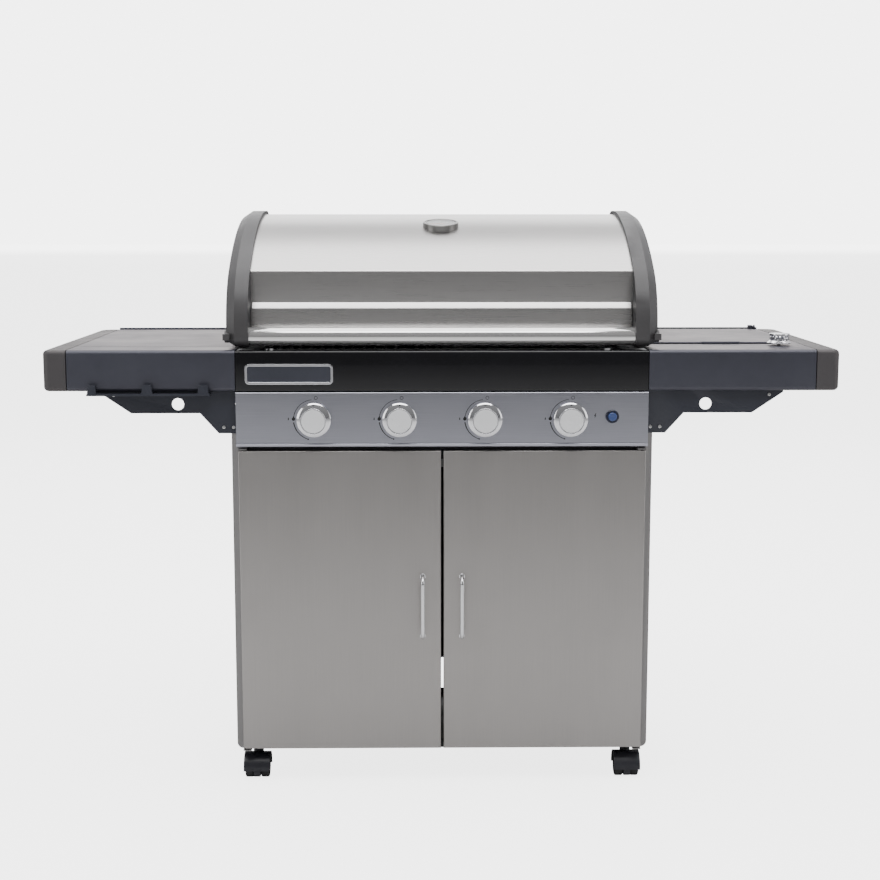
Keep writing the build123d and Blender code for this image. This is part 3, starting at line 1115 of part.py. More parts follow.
for number, (x, y, trail) in enumerate(stations, start=1):
    axle_y = y + trail
    with BuildPart() as caster_body:
        with BuildSketch(Plane.YZ.offset(x)):
            with Locations((axle_y, WHEEL / 2)):
                Circle(hood_r)
                Circle(hood_r - 3, mode=Mode.SUBTRACT)
                with Locations((0, -hood_r / 2 - 4)):
                    Rectangle(3 * hood_r, hood_r, mode=Mode.SUBTRACT)
        extrude(amount=CASTER_WIDTH / 2, both=True)
        with BuildSketch(Plane.YZ.offset(x)):
            with Locations((axle_y, WHEEL / 2)):
                Circle(hood_r - 1)
                with Locations((0, -hood_r / 2 - 14)):
                    Rectangle(3 * hood_r, hood_r, mode=Mode.SUBTRACT)
        extrude(amount=CASTER_WEB / 2, both=True)
        with BuildSketch(Plane.XY.offset(WHEEL / 2 + 14)):
            with Locations((x, y)):
                Circle(11)
        extrude(amount=body_top - WHEEL / 2 - 14)
        with Locations((x, axle_y, WHEEL / 2)):
            Cylinder(WHEEL / 2 + 1.5, CASTER_WIDTH + 4, rotation=(0, 90, 0), mode=Mode.SUBTRACT)
            Cylinder(WHEEL / 2 + 3, CASTER_WEB, rotation=(0, 90, 0))
        block(x - CASTER_WEB / 2 - 1, x + CASTER_WEB / 2 + 1, axle_y - 40, axle_y + 40, -10, 6,
              mode=Mode.SUBTRACT)
        with Locations((x, axle_y, WHEEL / 2)):
            Cylinder(AXLE / 2 + PIN_FIT, 2 * CASTER_WIDTH, rotation=(0, 90, 0), mode=Mode.SUBTRACT)
        with BuildSketch(Plane.XY.offset(body_top - 2)):
            with Locations((x, y)):
                Circle(CASTER_STEM / 2)
        extrude(amount=12)
    save(caster_body, f"caster_body_{number}")
    with BuildPart() as caster_wheels:
        for side in (-1, 1):
            with BuildSketch(Plane.YZ.offset(x + side * (CASTER_WEB / 2 + 0.6))):
                with Locations((axle_y, WHEEL / 2)):
                    Circle(WHEEL / 2)
            extrude(amount=side * WHEEL_WIDTH)
        fillet(caster_wheels.edges().filter_by(GeomType.CIRCLE).group_by(Axis.X)[0], 3)
        fillet(caster_wheels.edges().filter_by(GeomType.CIRCLE).group_by(Axis.X)[-1], 3)
        with Locations((x, axle_y, WHEEL / 2)):
            Cylinder(AXLE / 2, CASTER_WEB + 4, rotation=(0, 90, 0))
    save(caster_wheels, f"caster_wheels_{number}")
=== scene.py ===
import math
import bpy
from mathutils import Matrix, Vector


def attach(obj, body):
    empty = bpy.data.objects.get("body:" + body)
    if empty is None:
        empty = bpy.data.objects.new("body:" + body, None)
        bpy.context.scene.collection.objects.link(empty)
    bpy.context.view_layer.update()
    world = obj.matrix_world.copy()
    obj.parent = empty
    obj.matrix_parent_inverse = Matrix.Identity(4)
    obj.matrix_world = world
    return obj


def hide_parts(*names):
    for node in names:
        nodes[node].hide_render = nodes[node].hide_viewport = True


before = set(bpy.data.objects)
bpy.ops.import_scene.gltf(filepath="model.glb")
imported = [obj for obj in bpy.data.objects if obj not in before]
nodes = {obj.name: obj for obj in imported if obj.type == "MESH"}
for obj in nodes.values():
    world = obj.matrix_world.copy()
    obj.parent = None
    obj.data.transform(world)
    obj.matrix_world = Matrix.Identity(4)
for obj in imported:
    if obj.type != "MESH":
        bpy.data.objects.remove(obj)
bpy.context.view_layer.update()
print("frame loaded:", len(nodes), "nodes")

# modelling helpers: places and lengths are in millimetres, in the frame's axes
axisWay = {"X": Vector((1, 0, 0)), "Y": Vector((0, -1, 0)), "Z": Vector((0, 0, 1))}
axisTurn = {"X": (0, math.pi / 2, 0), "Y": (math.pi / 2, 0, 0), "Z": (0, 0, 0)}


def mm(*values):
    return Vector([v / 1000 for v in values])


def objectMode():
    if bpy.context.mode != "OBJECT":
        bpy.ops.object.mode_set(mode="OBJECT")


def clearSelection():
    objectMode()
    bpy.ops.object.select_all(action="DESELECT")


def takeUp(piece):
    clearSelection()
    piece.select_set(True)
    bpy.context.view_layer.objects.active = piece


def editMode(selectType="VERT"):
    bpy.ops.object.mode_set(mode="EDIT")
    bpy.ops.mesh.select_mode(type=selectType)


def selectAll():
    bpy.ops.mesh.select_all(action="SELECT")


def weld(distance=0.02):
    # merges doubles and leaves everything selected
    selectAll()
    bpy.ops.mesh.remove_doubles(threshold=distance / 1000)
    selectAll()


def applyPlace(piece):
    takeUp(piece)
    bpy.ops.object.transform_apply(location=True, rotation=True, scale=True)


def setDown(piece, place, turn=(0, 0, 0)):
    # turned and moved, with its object left at the origin
    piece.rotation_euler = turn
    piece.location = mm(*place)
    applyPlace(piece)
    return piece


def named(name):
    piece = bpy.context.object
    piece.name = name
    piece.data.name = name
    return piece


def startBox(name, low, high):
    # a cube set to its two corners
    clearSelection()
    low, high = mm(*low), mm(*high)
    bpy.ops.mesh.primitive_cube_add(size=1, location=(low + high) / 2)
    piece = named(name)
    piece.scale = high - low
    applyPlace(piece)
    return piece


def startRound(name, radius, depth, centre, axis="Z", sides=64):
    clearSelection()
    bpy.ops.mesh.primitive_cylinder_add(vertices=sides, radius=radius / 1000, depth=depth / 1000,
                                        location=mm(*centre), rotation=axisTurn[axis])
    piece = named(name)
    applyPlace(piece)
    return piece


def startChain(name, point):
    # one vertex to draw an outline from
    clearSelection()
    bpy.ops.mesh.primitive_plane_add(size=0.01, location=mm(*point))
    piece = named(name)
    applyPlace(piece)
    editMode()
    selectAll()
    bpy.ops.mesh.merge(type="CENTER")
    return piece


def stepBy(dx, dy, dz):
    bpy.ops.mesh.extrude_region_move(TRANSFORM_OT_translate={"value": mm(dx, dy, dz)})


def swellBy(distance):
    bpy.ops.mesh.extrude_region_shrink_fatten(TRANSFORM_OT_shrink_fatten={"value": distance / 1000})


def sweepBy(degrees, centre, steps):
    # carries what was last drawn round an axis along +X
    bpy.ops.mesh.spin(steps=steps, angle=math.radians(-degrees), center=mm(*centre), axis=(1, 0, 0))


def insetBy(thickness, depth=0):
    bpy.ops.mesh.inset(thickness=thickness / 1000, depth=depth / 1000)


def deleteFaces():
    bpy.ops.mesh.delete(type="FACE")


def drawPath(points):
    # further points of an outline, given as places, from the one last drawn
    for start, end in zip(points, points[1:]):
        stepBy(*[b - a for a, b in zip(start, end)])


def closeOutline():
    weld()
    bpy.ops.mesh.edge_face_add()


def pickFaces(piece, test):
    # the test gets a face's middle and its normal
    objectMode()
    mesh = piece.data
    for item in list(mesh.vertices) + list(mesh.edges):
        item.select = False
    for face in mesh.polygons:
        face.select = bool(test(face.center * 1000, face.normal))
    takeUp(piece)
    editMode("FACE")


def pickEdges(piece, test):
    # the test gets the edge's two ends
    objectMode()
    mesh = piece.data
    for item in list(mesh.vertices) + list(mesh.polygons):
        item.select = False
    for edge in mesh.edges:
        a, b = [mesh.vertices[i].co * 1000 for i in edge.vertices]
        edge.select = bool(test(a, b))
    takeUp(piece)
    editMode("EDGE")


def edgeAt(slack=0.1, **places):
    # a test for edges that lie at the given places, such as y=front
    def test(a, b):
        return all(abs(getattr(end, axis) - place) < slack for axis, place in places.items()
                   for end in (a, b))
    return test


def uprightAt(y):
    return lambda a, b: edgeAt(y=y)(a, b) and abs(a.z - b.z) > 5


def cutAt(piece, point, normal):
    takeUp(piece)
    editMode()
    selectAll()
    bpy.ops.mesh.bisect(plane_co=mm(*point), plane_no=normal)
    objectMode()


def cutAcross(piece, axis, *places):
    # rings of edges at places along one axis
    for place in places:
        way = [float(letter == axis) for letter in "xyz"]
        cutAt(piece, [place * w for w in way], way)


def bevelEdges(piece, test, radius, segments):
    pickEdges(piece, test)
    bpy.ops.mesh.bevel(offset=radius / 1000, segments=segments, profile=0.5, affect="EDGES",
                       clamp_overlap=True)
    objectMode()


def outward(piece):
    takeUp(piece)
    editMode()
    weld(0.01)
    bpy.ops.mesh.normals_make_consistent(inside=False)
    objectMode()


def useModifier(piece, kind, **settings):
    takeUp(piece)
    modifier = piece.modifiers.new(kind.lower(), kind)
    for key, value in settings.items():
        setattr(modifier, key, value)
    bpy.ops.object.modifier_apply(modifier=modifier.name)


def softenEdges(piece, radius, segments=2, angle=30):
    useModifier(piece, "BEVEL", width=radius / 1000, segments=segments, limit_method="ANGLE",
                angle_limit=math.radians(angle), use_clamp_overlap=True)


def giveSheet(piece, thickness):
    # the wall grows inwards from the faces drawn
    useModifier(piece, "SOLIDIFY", thickness=thickness / 1000, offset=-1)


def cutWith(piece, cutter):
    useModifier(piece, "BOOLEAN", operation="DIFFERENCE", solver="EXACT", object=cutter)
    bpy.data.objects.remove(cutter)


def addTo(piece, lump):
    useModifier(piece, "BOOLEAN", operation="UNION", solver="EXACT", object=lump)
    bpy.data.objects.remove(lump)


def joined(pieces, name):
    clearSelection()
    for piece in pieces:
        piece.select_set(True)
    bpy.context.view_layer.objects.active = pieces[0]
    bpy.ops.object.join()
    return named(name)


def copyOf(piece, name, move=(0, 0, 0), mirrorX=False):
    # a copy with its own mesh, set down somewhere else
    twin = piece.copy()
    twin.data = piece.data.copy()
    bpy.context.scene.collection.objects.link(twin)
    twin.name = name
    twin.data.name = name
    if mirrorX:
        twin.scale = (-1, 1, 1)
    twin.location = mm(*move)
    applyPlace(twin)
    if mirrorX:
        outward(twin)
    return twin


def spun(name, profile, centre, axis="Z", steps=64):
    # a turned form: the profile is (radius, height) pairs along the axis
    along = axisWay[axis]
    across = Vector((0, 1, 0)) if axis == "X" else Vector((1, 0, 0))
    places = [Vector(centre) + across * r + along * h for r, h in profile]
    piece = startChain(name, places[0])
    drawPath(places)
    selectAll()
    bpy.ops.mesh.spin(steps=steps, angle=math.tau, center=mm(*centre), axis=along)
    weld()
    outward(piece)
    return piece


def foldedPan(name, low, high, openSide, sheet, bends, lip=0):
    # a box with one side open, its edges bent, given the thickness of its sheet
    piece = startBox(name, low, high)
    for test, radius, segments in bends:
        bevelEdges(piece, test, radius, segments)
    pickFaces(piece, {"back": lambda c, n: n.y > 0.99, "under": lambda c, n: n.z < -0.99}[openSide])
    if lip:
        insetBy(lip)
    deleteFaces()
    objectMode()
    giveSheet(piece, sheet)
    return piece


def dress(piece, finish, body, replaced=(), angle=32):
    # finish, shading, body and the CAD nodes that the piece stands for
    takeUp(piece)
    bpy.ops.object.shade_smooth_by_angle(angle=math.radians(angle))
    piece.data.materials.clear()
    piece.data.materials.append(materials[finish])
    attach(piece, body)
    if replaced:
        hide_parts(*replaced)
    return piece


# material helpers
def newGroup(name, inputs, outputs):
    group = bpy.data.node_groups.new(name, "ShaderNodeTree")
    for label, kind, value in inputs:
        socket = group.interface.new_socket(name=label, in_out="INPUT", socket_type="NodeSocket" + kind)
        if value is not None:
            socket.default_value = value
    for label, kind in outputs:
        group.interface.new_socket(name=label, in_out="OUTPUT", socket_type="NodeSocket" + kind)
    return group, group.nodes.new("NodeGroupInput"), group.nodes.new("NodeGroupOutput")


def addNode(tree, kind, **settings):
    # settings that start with in_ go to the node's inputs
    node = tree.nodes.new(kind)
    for key, value in settings.items():
        if key.startswith("in_"):
            node.inputs[key[3:]].default_value = value
        else:
            setattr(node, key, value)
    return node


def feed(tree, socket, value):
    # a link where the value is a socket, and otherwise a plain number or colour
    if hasattr(value, "is_linked"):
        tree.links.new(value, socket)
    elif isinstance(value, (int, float)):
        socket.default_value = value
    else:
        socket.default_value = (*value[:3], 1)


def mathNode(tree, operation, first, second):
    node = addNode(tree, "ShaderNodeMath", operation=operation)
    feed(tree, node.inputs[0], first)
    feed(tree, node.inputs[1], second)
    return node.outputs[0]


def blendOf(tree, first, share, second):
    # so much of the first mask, and the rest of the second
    return mathNode(tree, "ADD", mathNode(tree, "MULTIPLY", first, share),
                    mathNode(tree, "MULTIPLY", second, 1 - share))


def mixColour(tree, factor, first, second, blend="MIX"):
    node = addNode(tree, "ShaderNodeMix", data_type="RGBA", blend_type=blend)
    for index, value in ((0, factor), (6, first), (7, second)):
        feed(tree, node.inputs[index], value)
    return node.outputs[2]


def spread(tree, value, low, high, toLow=0.0, toHigh=1.0):
    node = addNode(tree, "ShaderNodeMapRange", clamp=True)
    tree.links.new(value, node.inputs["Value"])
    for label, number in (("From Min", low), ("From Max", high), ("To Min", toLow), ("To Max", toHigh)):
        feed(tree, node.inputs[label], number)
    return node.outputs["Result"]


finishInputs = [("Vector", "Vector", None), ("Light", "Color", (1, 1, 1, 1)),
                ("Dark", "Color", (0.5, 0.5, 0.5, 1)), ("Rough low", "Float", 0.25),
                ("Rough high", "Float", 0.4)]
finishOutputs = [("Color", "Color"), ("Roughness", "Float"), ("Height", "Float")]


def putOut(group, source, target, tone, roughTone, height):
    # colour and roughness run between the group's two values, each by its own mask
    group.links.new(mixColour(group, tone, source.outputs["Dark"], source.outputs["Light"]),
                    target.inputs["Color"])
    rough = spread(group, roughTone, 0.0, 1.0, source.outputs["Rough low"], source.outputs["Rough high"])
    group.links.new(rough, target.inputs["Roughness"])
    group.links.new(height, target.inputs["Height"])


# fine lines of a brushed sheet: streaks under soft clouds
brushing, source, target = newGroup("brushing", finishInputs, finishOutputs)
streaks = addNode(brushing, "ShaderNodeTexNoise", in_Scale=1.0, in_Detail=6.0, in_Roughness=0.65)
clouds = addNode(brushing, "ShaderNodeTexNoise", in_Scale=0.012, in_Detail=3.0, in_Roughness=0.5)
for texture in (streaks, clouds):
    brushing.links.new(source.outputs["Vector"], texture.inputs["Vector"])
lineMask = spread(brushing, streaks.outputs[0], 0.32, 0.68)
cloudMask = spread(brushing, clouds.outputs[0], 0.35, 0.65)
both = blendOf(brushing, lineMask, 0.7, cloudMask)
putOut(brushing, source, target, both, both, lineMask)

# orange peel and speckle of paint, moulded grain of plastic, pits of a casting
speckle, source, target = newGroup("speckle", finishInputs + [("Scale", "Float", 900.0)], finishOutputs)
grains = addNode(speckle, "ShaderNodeTexNoise", in_Detail=3.0, in_Roughness=0.55)
patches = addNode(speckle, "ShaderNodeTexNoise", in_Scale=7.0, in_Detail=4.0, in_Roughness=0.6)
cells = addNode(speckle, "ShaderNodeTexVoronoi", feature="SMOOTH_F1")
for texture in (grains, patches, cells):
    speckle.links.new(source.outputs["Vector"], texture.inputs["Vector"])
for texture in (grains, cells):
    speckle.links.new(source.outputs["Scale"], texture.inputs["Scale"])
grainMask = spread(speckle, grains.outputs[0], 0.3, 0.7)
patchMask = spread(speckle, patches.outputs[0], 0.35, 0.65)
putOut(speckle, source, target, blendOf(speckle, grainMask, 0.45, patchMask), patchMask,
       mathNode(speckle, "ADD", grainMask, cells.outputs[0]))

# finger marks and wiped patches, as a mask
handling, source, target = newGroup("handling", [("Vector", "Vector", None), ("Amount", "Float", 0.3)],
                                    [("Mask", "Float")])
wiped = addNode(handling, "ShaderNodeTexNoise", in_Scale=5.0, in_Detail=6.0, in_Roughness=0.7,
                in_Distortion=0.8)
handling.links.new(source.outputs["Vector"], wiped.inputs["Vector"])
wipedMask = spread(handling, wiped.outputs[0], 0.5, 0.75)
handling.links.new(mathNode(handling, "MULTIPLY", wipedMask, source.outputs["Amount"]), target.inputs["Mask"])


def startMaterial(name):
    material = bpy.data.materials.new(name)
    material.use_nodes = True
    tree = material.node_tree
    place = addNode(tree, "ShaderNodeTexCoord").outputs["Object"]
    return material, tree, tree.nodes["Principled BSDF"], place


def putGroup(tree, group, vector, values):
    node = tree.nodes.new("ShaderNodeGroup")
    node.node_tree = group
    tree.links.new(vector, node.inputs["Vector"])
    for key, value in values.items():
        feed(tree, node.inputs[key], value)
    return node


def surface(name, group, values, marks, handled, handledRough, metallic, bump, relief, stretch=None):
    # one pattern, with finger marks that shift its colour and roughness
    material, tree, shader, vector = startMaterial(name)
    stretched = vector
    if stretch:
        mapping = addNode(tree, "ShaderNodeMapping", in_Scale=stretch)
        tree.links.new(vector, mapping.inputs["Vector"])
        stretched = mapping.outputs["Vector"]
    look = putGroup(tree, group, stretched, values)
    touch = putGroup(tree, handling, vector, {"Amount": marks}).outputs["Mask"]
    tree.links.new(mixColour(tree, touch, look.outputs["Color"], handled), shader.inputs["Base Color"])
    rough = mathNode(tree, "ADD", look.outputs["Roughness"], mathNode(tree, "MULTIPLY", touch, handledRough))
    tree.links.new(rough, shader.inputs["Roughness"])
    shader.inputs["Metallic"].default_value = metallic
    bumpNode = addNode(tree, "ShaderNodeBump", in_Strength=bump, in_Distance=relief)
    tree.links.new(look.outputs["Height"], bumpNode.inputs["Height"])
    tree.links.new(bumpNode.outputs["Normal"], shader.inputs["Normal"])
    return material, shader


def brushedMetal(name, light, dark, rough, along, bump, marks=0.12, metal=1.0):
    # the streaks run along one axis of the object
    stretch = {"X": (6, 900, 900), "Y": (900, 6, 900), "Z": (900, 900, 6)}[along]
    values = {"Light": light, "Dark": dark, "Rough low": rough[0], "Rough high": rough[1]}
    return surface(name, brushing, values, marks, dark, 0.35, metal, bump, 0.0004, stretch)[0]


def grainFinish(name, light, dark, scale, rough, bump, metallic=0.0, coat=0.0, coatRough=0.1, marks=0.15,
                specular=0.5, edgeTint=(1.0, 1.0, 1.0)):
    values = {"Light": light, "Dark": dark, "Scale": scale, "Rough low": rough[0], "Rough high": rough[1]}
    material, shader = surface(name, speckle, values, marks, light, 0.3, metallic, bump, 0.0003)
    shader.inputs["Coat Weight"].default_value = coat
    shader.inputs["Coat Roughness"].default_value = coatRough
    shader.inputs["Specular IOR Level"].default_value = specular
    shader.inputs["Specular Tint"].default_value = (*edgeTint, 1)
    return material


# light and dark colour, roughness from and to, way of the brushing, bump, finger marks, metallic
metals = {
    "hoodSteel": ((0.62, 0.605, 0.595), (0.575, 0.562, 0.555), (0.26, 0.31), "X", 0.008, 0.04),
    "doorSteel": ((0.45, 0.432, 0.42), (0.40, 0.384, 0.374), (0.34, 0.44), "Z", 0.03),
    "panelSteel": ((0.50, 0.505, 0.56), (0.41, 0.415, 0.47), (0.26, 0.36), "X", 0.04),
    "tubeSteel": ((0.84, 0.83, 0.82), (0.76, 0.755, 0.75), (0.08, 0.12), "X", 0.005, 0.12, 0.85),
    "handleChrome": ((0.86, 0.86, 0.87), (0.74, 0.74, 0.76), (0.08, 0.16), "Z", 0.01),
    "knobChrome": ((0.90, 0.90, 0.92), (0.80, 0.80, 0.83), (0.07, 0.14), "X", 0.01),
    "gaugeSteel": ((0.27, 0.265, 0.26), (0.19, 0.185, 0.18), (0.24, 0.34), "X", 0.02),
    "plateChrome": ((0.78, 0.78, 0.80), (0.62, 0.62, 0.66), (0.12, 0.22), "X", 0.01),
    "boltZinc": ((0.66, 0.66, 0.65), (0.50, 0.50, 0.50), (0.26, 0.40), "X", 0.03),
    "trayZinc": ((0.60, 0.61, 0.62), (0.46, 0.47, 0.48), (0.32, 0.48), "Y", 0.04),
    "burnerSteel": ((0.48, 0.42, 0.36), (0.30, 0.25, 0.22), (0.36, 0.52), "Y", 0.05, 0.4),
    "valveBrass": ((0.66, 0.50, 0.24), (0.50, 0.36, 0.16), (0.28, 0.42), "Z", 0.04),
    "rackChrome": ((0.78, 0.78, 0.79), (0.60, 0.60, 0.62), (0.14, 0.26), "X", 0.01),
}
# light and dark colour, grains to a metre, roughness from and to, bump, and what else differs
paints = {
    "knobSatin": ((0.95, 0.955, 0.97), (0.90, 0.905, 0.92), 1400, (0.24, 0.32), 0.02,
                  {"metallic": 0.15, "marks": 0.05}),
    "castGrey": ((0.080, 0.078, 0.080), (0.066, 0.064, 0.066), 1100, (0.36, 0.46), 0.05,
                 {"metallic": 0.1, "specular": 0.35}),
    "cartPaint": ((0.30, 0.29, 0.29), (0.25, 0.245, 0.245), 900, (0.36, 0.48), 0.06, {"metallic": 0.7}),
    "innerPaintAndPaintedShade": ((0.020, 0.020, 0.022), (0.012, 0.012, 0.014), 800, (0.50, 0.66), 0.08, {}),
    "fasciaGloss": ((0.006, 0.006, 0.008), (0.004, 0.004, 0.005), 420, (0.12, 0.20), 0.012,
                    {"coat": 0.3, "coatRough": 0.06, "marks": 0.06, "specular": 0.35}),
    "badgeFace": ((0.105, 0.11, 0.135), (0.085, 0.09, 0.112), 1400, (0.22, 0.28), 0.015,
                  {"metallic": 0.8, "marks": 0.04}),
    "tablePaint": ((0.070, 0.074, 0.095), (0.057, 0.060, 0.078), 1000, (0.36, 0.46), 0.06,
                   {"metallic": 0.45, "edgeTint": (1.0, 0.90, 0.84)}),
    "endCapPlastic": ((0.078, 0.074, 0.078), (0.064, 0.061, 0.065), 1500, (0.44, 0.56), 0.10,
                      {"metallic": 0.2, "edgeTint": (1.0, 0.92, 0.87)}),
    "bracketPaint": ((0.034, 0.037, 0.050), (0.025, 0.027, 0.038), 900, (0.40, 0.52), 0.06,
                     {"metallic": 0.1}),
    "enamel": ((0.016, 0.015, 0.015), (0.008, 0.008, 0.008), 260, (0.22, 0.44), 0.05,
               {"coat": 0.3, "coatRough": 0.2, "marks": 0.4}),
    "castIron": ((0.028, 0.027, 0.026), (0.014, 0.014, 0.014), 700, (0.55, 0.72), 0.35, {"metallic": 0.2}),
    "casterPlastic": ((0.022, 0.022, 0.029), (0.015, 0.015, 0.021), 1300, (0.34, 0.46), 0.08, {}),
    "treadRubber": ((0.022, 0.022, 0.024), (0.013, 0.013, 0.015), 900, (0.60, 0.75), 0.15, {"marks": 0.35}),
    "buttonBlue": ((0.055, 0.095, 0.26), (0.040, 0.072, 0.21), 1500, (0.22, 0.32), 0.04, {"coat": 0.4}),
    "igniterRing": ((0.010, 0.015, 0.040), (0.007, 0.010, 0.028), 1500, (0.26, 0.38), 0.05, {"coat": 0.2}),
    "printBlack": ((0.010, 0.010, 0.011), (0.006, 0.006, 0.007), 1500, (0.40, 0.55), 0.02, {}),
    # painted shade: the white dial is given a dark grey for the shade it sits in under its glass
    "dialPaintedShade": ((0.15, 0.147, 0.143), (0.13, 0.127, 0.124), 1200, (0.50, 0.62), 0.02, {}),
    "needleRed": ((0.46, 0.030, 0.020), (0.36, 0.020, 0.015), 1500, (0.35, 0.50), 0.03, {}),
}
materials = {name: brushedMetal(name, *row) for name, row in metals.items()}
materials.update({name: grainFinish(name, *row[:-1], **row[-1]) for name, row in paints.items()})

glass, tree, shader, vector = startMaterial("dialGlass")
shader.inputs["Transmission Weight"].default_value = 1.0
shader.inputs["IOR"].default_value = 1.1
smears = putGroup(tree, handling, vector, {"Amount": 0.05}).outputs["Mask"]
tree.links.new(mathNode(tree, "ADD", smears, 0.01), shader.inputs["Roughness"])
tree.links.new(mixColour(tree, smears, (0.98, 0.99, 0.99), (0.90, 0.91, 0.92)), shader.inputs["Base Color"])
materials["dialGlass"] = glass
print("materials ready:", len(materials))

# hood
hood = {"half": 399, "low": 935.5, "front": -199, "domeY": 168, "domeZ": 558, "domeR": 640, "rearY": 188,
        "rearZ": 1115.64, "rearR": 82, "back": 270, "sheet": 1.2, "ledgeTop": 1016, "ledgeLow": 1003,
        "ledgeDepth": 8, "ledgeMargin": 3, "ledgeRound": 2.5, "creaseRound": 5}
dome, rear = (hood["domeY"], hood["domeZ"]), (hood["rearY"], hood["rearZ"])


def turnBetween(centre, start, end):
    # degrees about +X from one place to another, seen along the axis
    a = math.atan2(start[1] - centre[1], start[0] - centre[0])
    b = math.atan2(end[1] - centre[1], end[0] - centre[0])
    return math.degrees(b - a)


def arcJoin(centre, inner, radius, innerRadius):
    # where an arc runs over into a smaller one inside it
    lean = (inner[0] - centre[0]) / (radius - innerRadius)
    return centre[0] + radius * lean, centre[1] + radius * math.sqrt(1 - lean ** 2)


def hoodOutline(name, x, proud, low, steps):
    # the side view of hood steel, drawn up the front, over the dome and down the back
    front, back = hood["front"] - proud, hood["back"] + proud
    domeR, rearR = hood["domeR"] + proud, hood["rearR"] + proud
    creaseZ = dome[1] + math.sqrt(domeR ** 2 - (front - dome[0]) ** 2)
    join = arcJoin(dome, rear, domeR, rearR)
    piece = startChain(name, (x, front, low))
    stepBy(0, 0, creaseZ - low)
    sweepBy(turnBetween(dome, (front, creaseZ), join), (x, *dome), steps)
    sweepBy(turnBetween(rear, join, (back, rear[1])), (x, *rear), steps // 2)
    stepBy(0, 0, low - rear[1])
    return piece, creaseZ


def ledgeEdge(z, slack):
    # the outer edge of the ledge while it lies at a height
    return lambda a, b: edgeAt(slack, z=z)(a, b) and max(a.y, b.y) < hood["front"] - hood["ledgeDepth"] + 1


hoodShell, creaseZ = hoodOutline("hoodShell", -hood["half"], 0, hood["low"], 48)
weld()
stepBy(2 * hood["half"], 0, 0)
objectMode()
ledgeHalf = hood["half"] - hood["ledgeMargin"]
cutAcross(hoodShell, "x", -ledgeHalf, ledgeHalf)
cutAcross(hoodShell, "z", hood["ledgeTop"])
bevelEdges(hoodShell, lambda a, b: edgeAt(0.2, z=creaseZ)(a, b) and a.y < 0 and abs(a.x - b.x) > 1,
           hood["creaseRound"], 5)
pickFaces(hoodShell, lambda c, n: c.y < hood["front"] + 9 and c.z < hood["ledgeTop"] and abs(c.x) < ledgeHalf)
stepBy(0, -hood["ledgeDepth"], 0)
pickEdges(hoodShell, ledgeEdge(hood["ledgeTop"], 0.1))
bpy.ops.transform.translate(value=mm(0, 0, hood["ledgeLow"] - hood["ledgeTop"]))
objectMode()
outward(hoodShell)
if sum(f.normal.z for f in hoodShell.data.polygons if f.center.z > 1.15) < 0:
    takeUp(hoodShell)
    editMode()
    selectAll()
    bpy.ops.mesh.flip_normals()
    objectMode()
bevelEdges(hoodShell, ledgeEdge(hood["ledgeLow"], 0.2), hood["ledgeRound"], 4)
giveSheet(hoodShell, hood["sheet"])
dress(hoodShell, "hoodSteel", "hood", ["hood_shell"], 25)
print("hood shell")

cap = {"band": 28, "bevel": 18, "bevelIn": 12, "rim": 12, "wall": 5, "front": -268, "low": 928, "frontR": 150,
       "nose": 21, "corner": 20, "proud": 8, "pinY": 258, "pinZ": 948, "soft": 1.6, "boss": 13,
       "bossProud": 3.5, "seat": 6.5, "seatDeep": 8, "hinge": (4.1, 10), "hingeX": (415, 441)}
boltAt = (cap["front"] + cap["nose"], cap["low"] + cap["nose"])
capOuter = hood["half"] + cap["band"] + cap["bevel"]


def castingOutline(x):
    # clockwise from the foot of the nose: nose, front, dome, back and the corner round the hinge pin
    domeR, rearR = hood["domeR"] + cap["proud"], hood["rearR"] + cap["proud"]
    frontY = cap["front"] + cap["frontR"]
    frontC = (frontY, dome[1] + math.sqrt((domeR - cap["frontR"]) ** 2 - (frontY - dome[0]) ** 2))
    frontJoin = arcJoin(dome, frontC, domeR, cap["frontR"])
    join = arcJoin(dome, rear, domeR, rearR)
    piece = startChain("hoodEndCapRight", (x, boltAt[0], cap["low"]))
    sweepBy(-90, (x, *boltAt), 14)
    stepBy(0, 0, frontC[1] - boltAt[1])
    sweepBy(turnBetween(frontC, (cap["front"], frontC[1]), frontJoin) % -360, (x, *frontC), 18)
    sweepBy(turnBetween(dome, frontJoin, join), (x, *dome), 44)
    sweepBy(turnBetween(rear, join, (hood["back"] + cap["proud"], rear[1])), (x, *rear), 24)
    stepBy(0, 0, cap["pinZ"] - rear[1])
    sweepBy(-90, (x, cap["pinY"], cap["pinZ"]), 12)
    stepBy(0, boltAt[0] - cap["pinY"], 0)
    closeOutline()
    return piece


def endCap():
    x = hood["half"]
    piece = castingOutline(x)
    stepBy(cap["band"], 0, 0)
    outward(piece)
    pickFaces(piece, lambda c, n: n.x > 0.9)
    insetBy(cap["bevelIn"], cap["bevel"])
    hollow = hoodOutline("capHollow", x - 1, cap["proud"] - cap["rim"], cap["low"] - 8, 44)[0]
    closeOutline()
    stepBy(cap["band"] + cap["bevel"] - cap["wall"] + 1, 0, 0)
    outward(hollow)
    cutWith(piece, hollow)
    roomLow = (x - 1, cap["pinY"] - cap["corner"] - 8, cap["low"] - 6)
    cutWith(piece, startBox("lugRoom", roomLow, (x + 16, hood["back"] + cap["proud"] + 2, cap["pinZ"] + 30)))
    # boss round the handle's bolt, its seat open to the front
    bossLow, bossEnd = capOuter - 10, capOuter + cap["bossProud"]
    bossMiddle = ((bossLow + bossEnd) / 2, *boltAt)
    addTo(piece, startRound("boltBoss", cap["boss"], bossEnd - bossLow, bossMiddle, "X", 56))
    low, high = capOuter - cap["seatDeep"], bossEnd + 2
    cutWith(piece, startRound("boltSeat", cap["seat"], high - low, ((high + low) / 2, *boltAt), "X", 40))
    mouthLow = (low, boltAt[0] - 2 * cap["boss"], boltAt[1] - cap["seat"])
    cutWith(piece, startBox("seatMouth", mouthLow, (high, boltAt[0], boltAt[1] + cap["seat"])))
    softenEdges(piece, cap["soft"], 3, 35)
    return piece


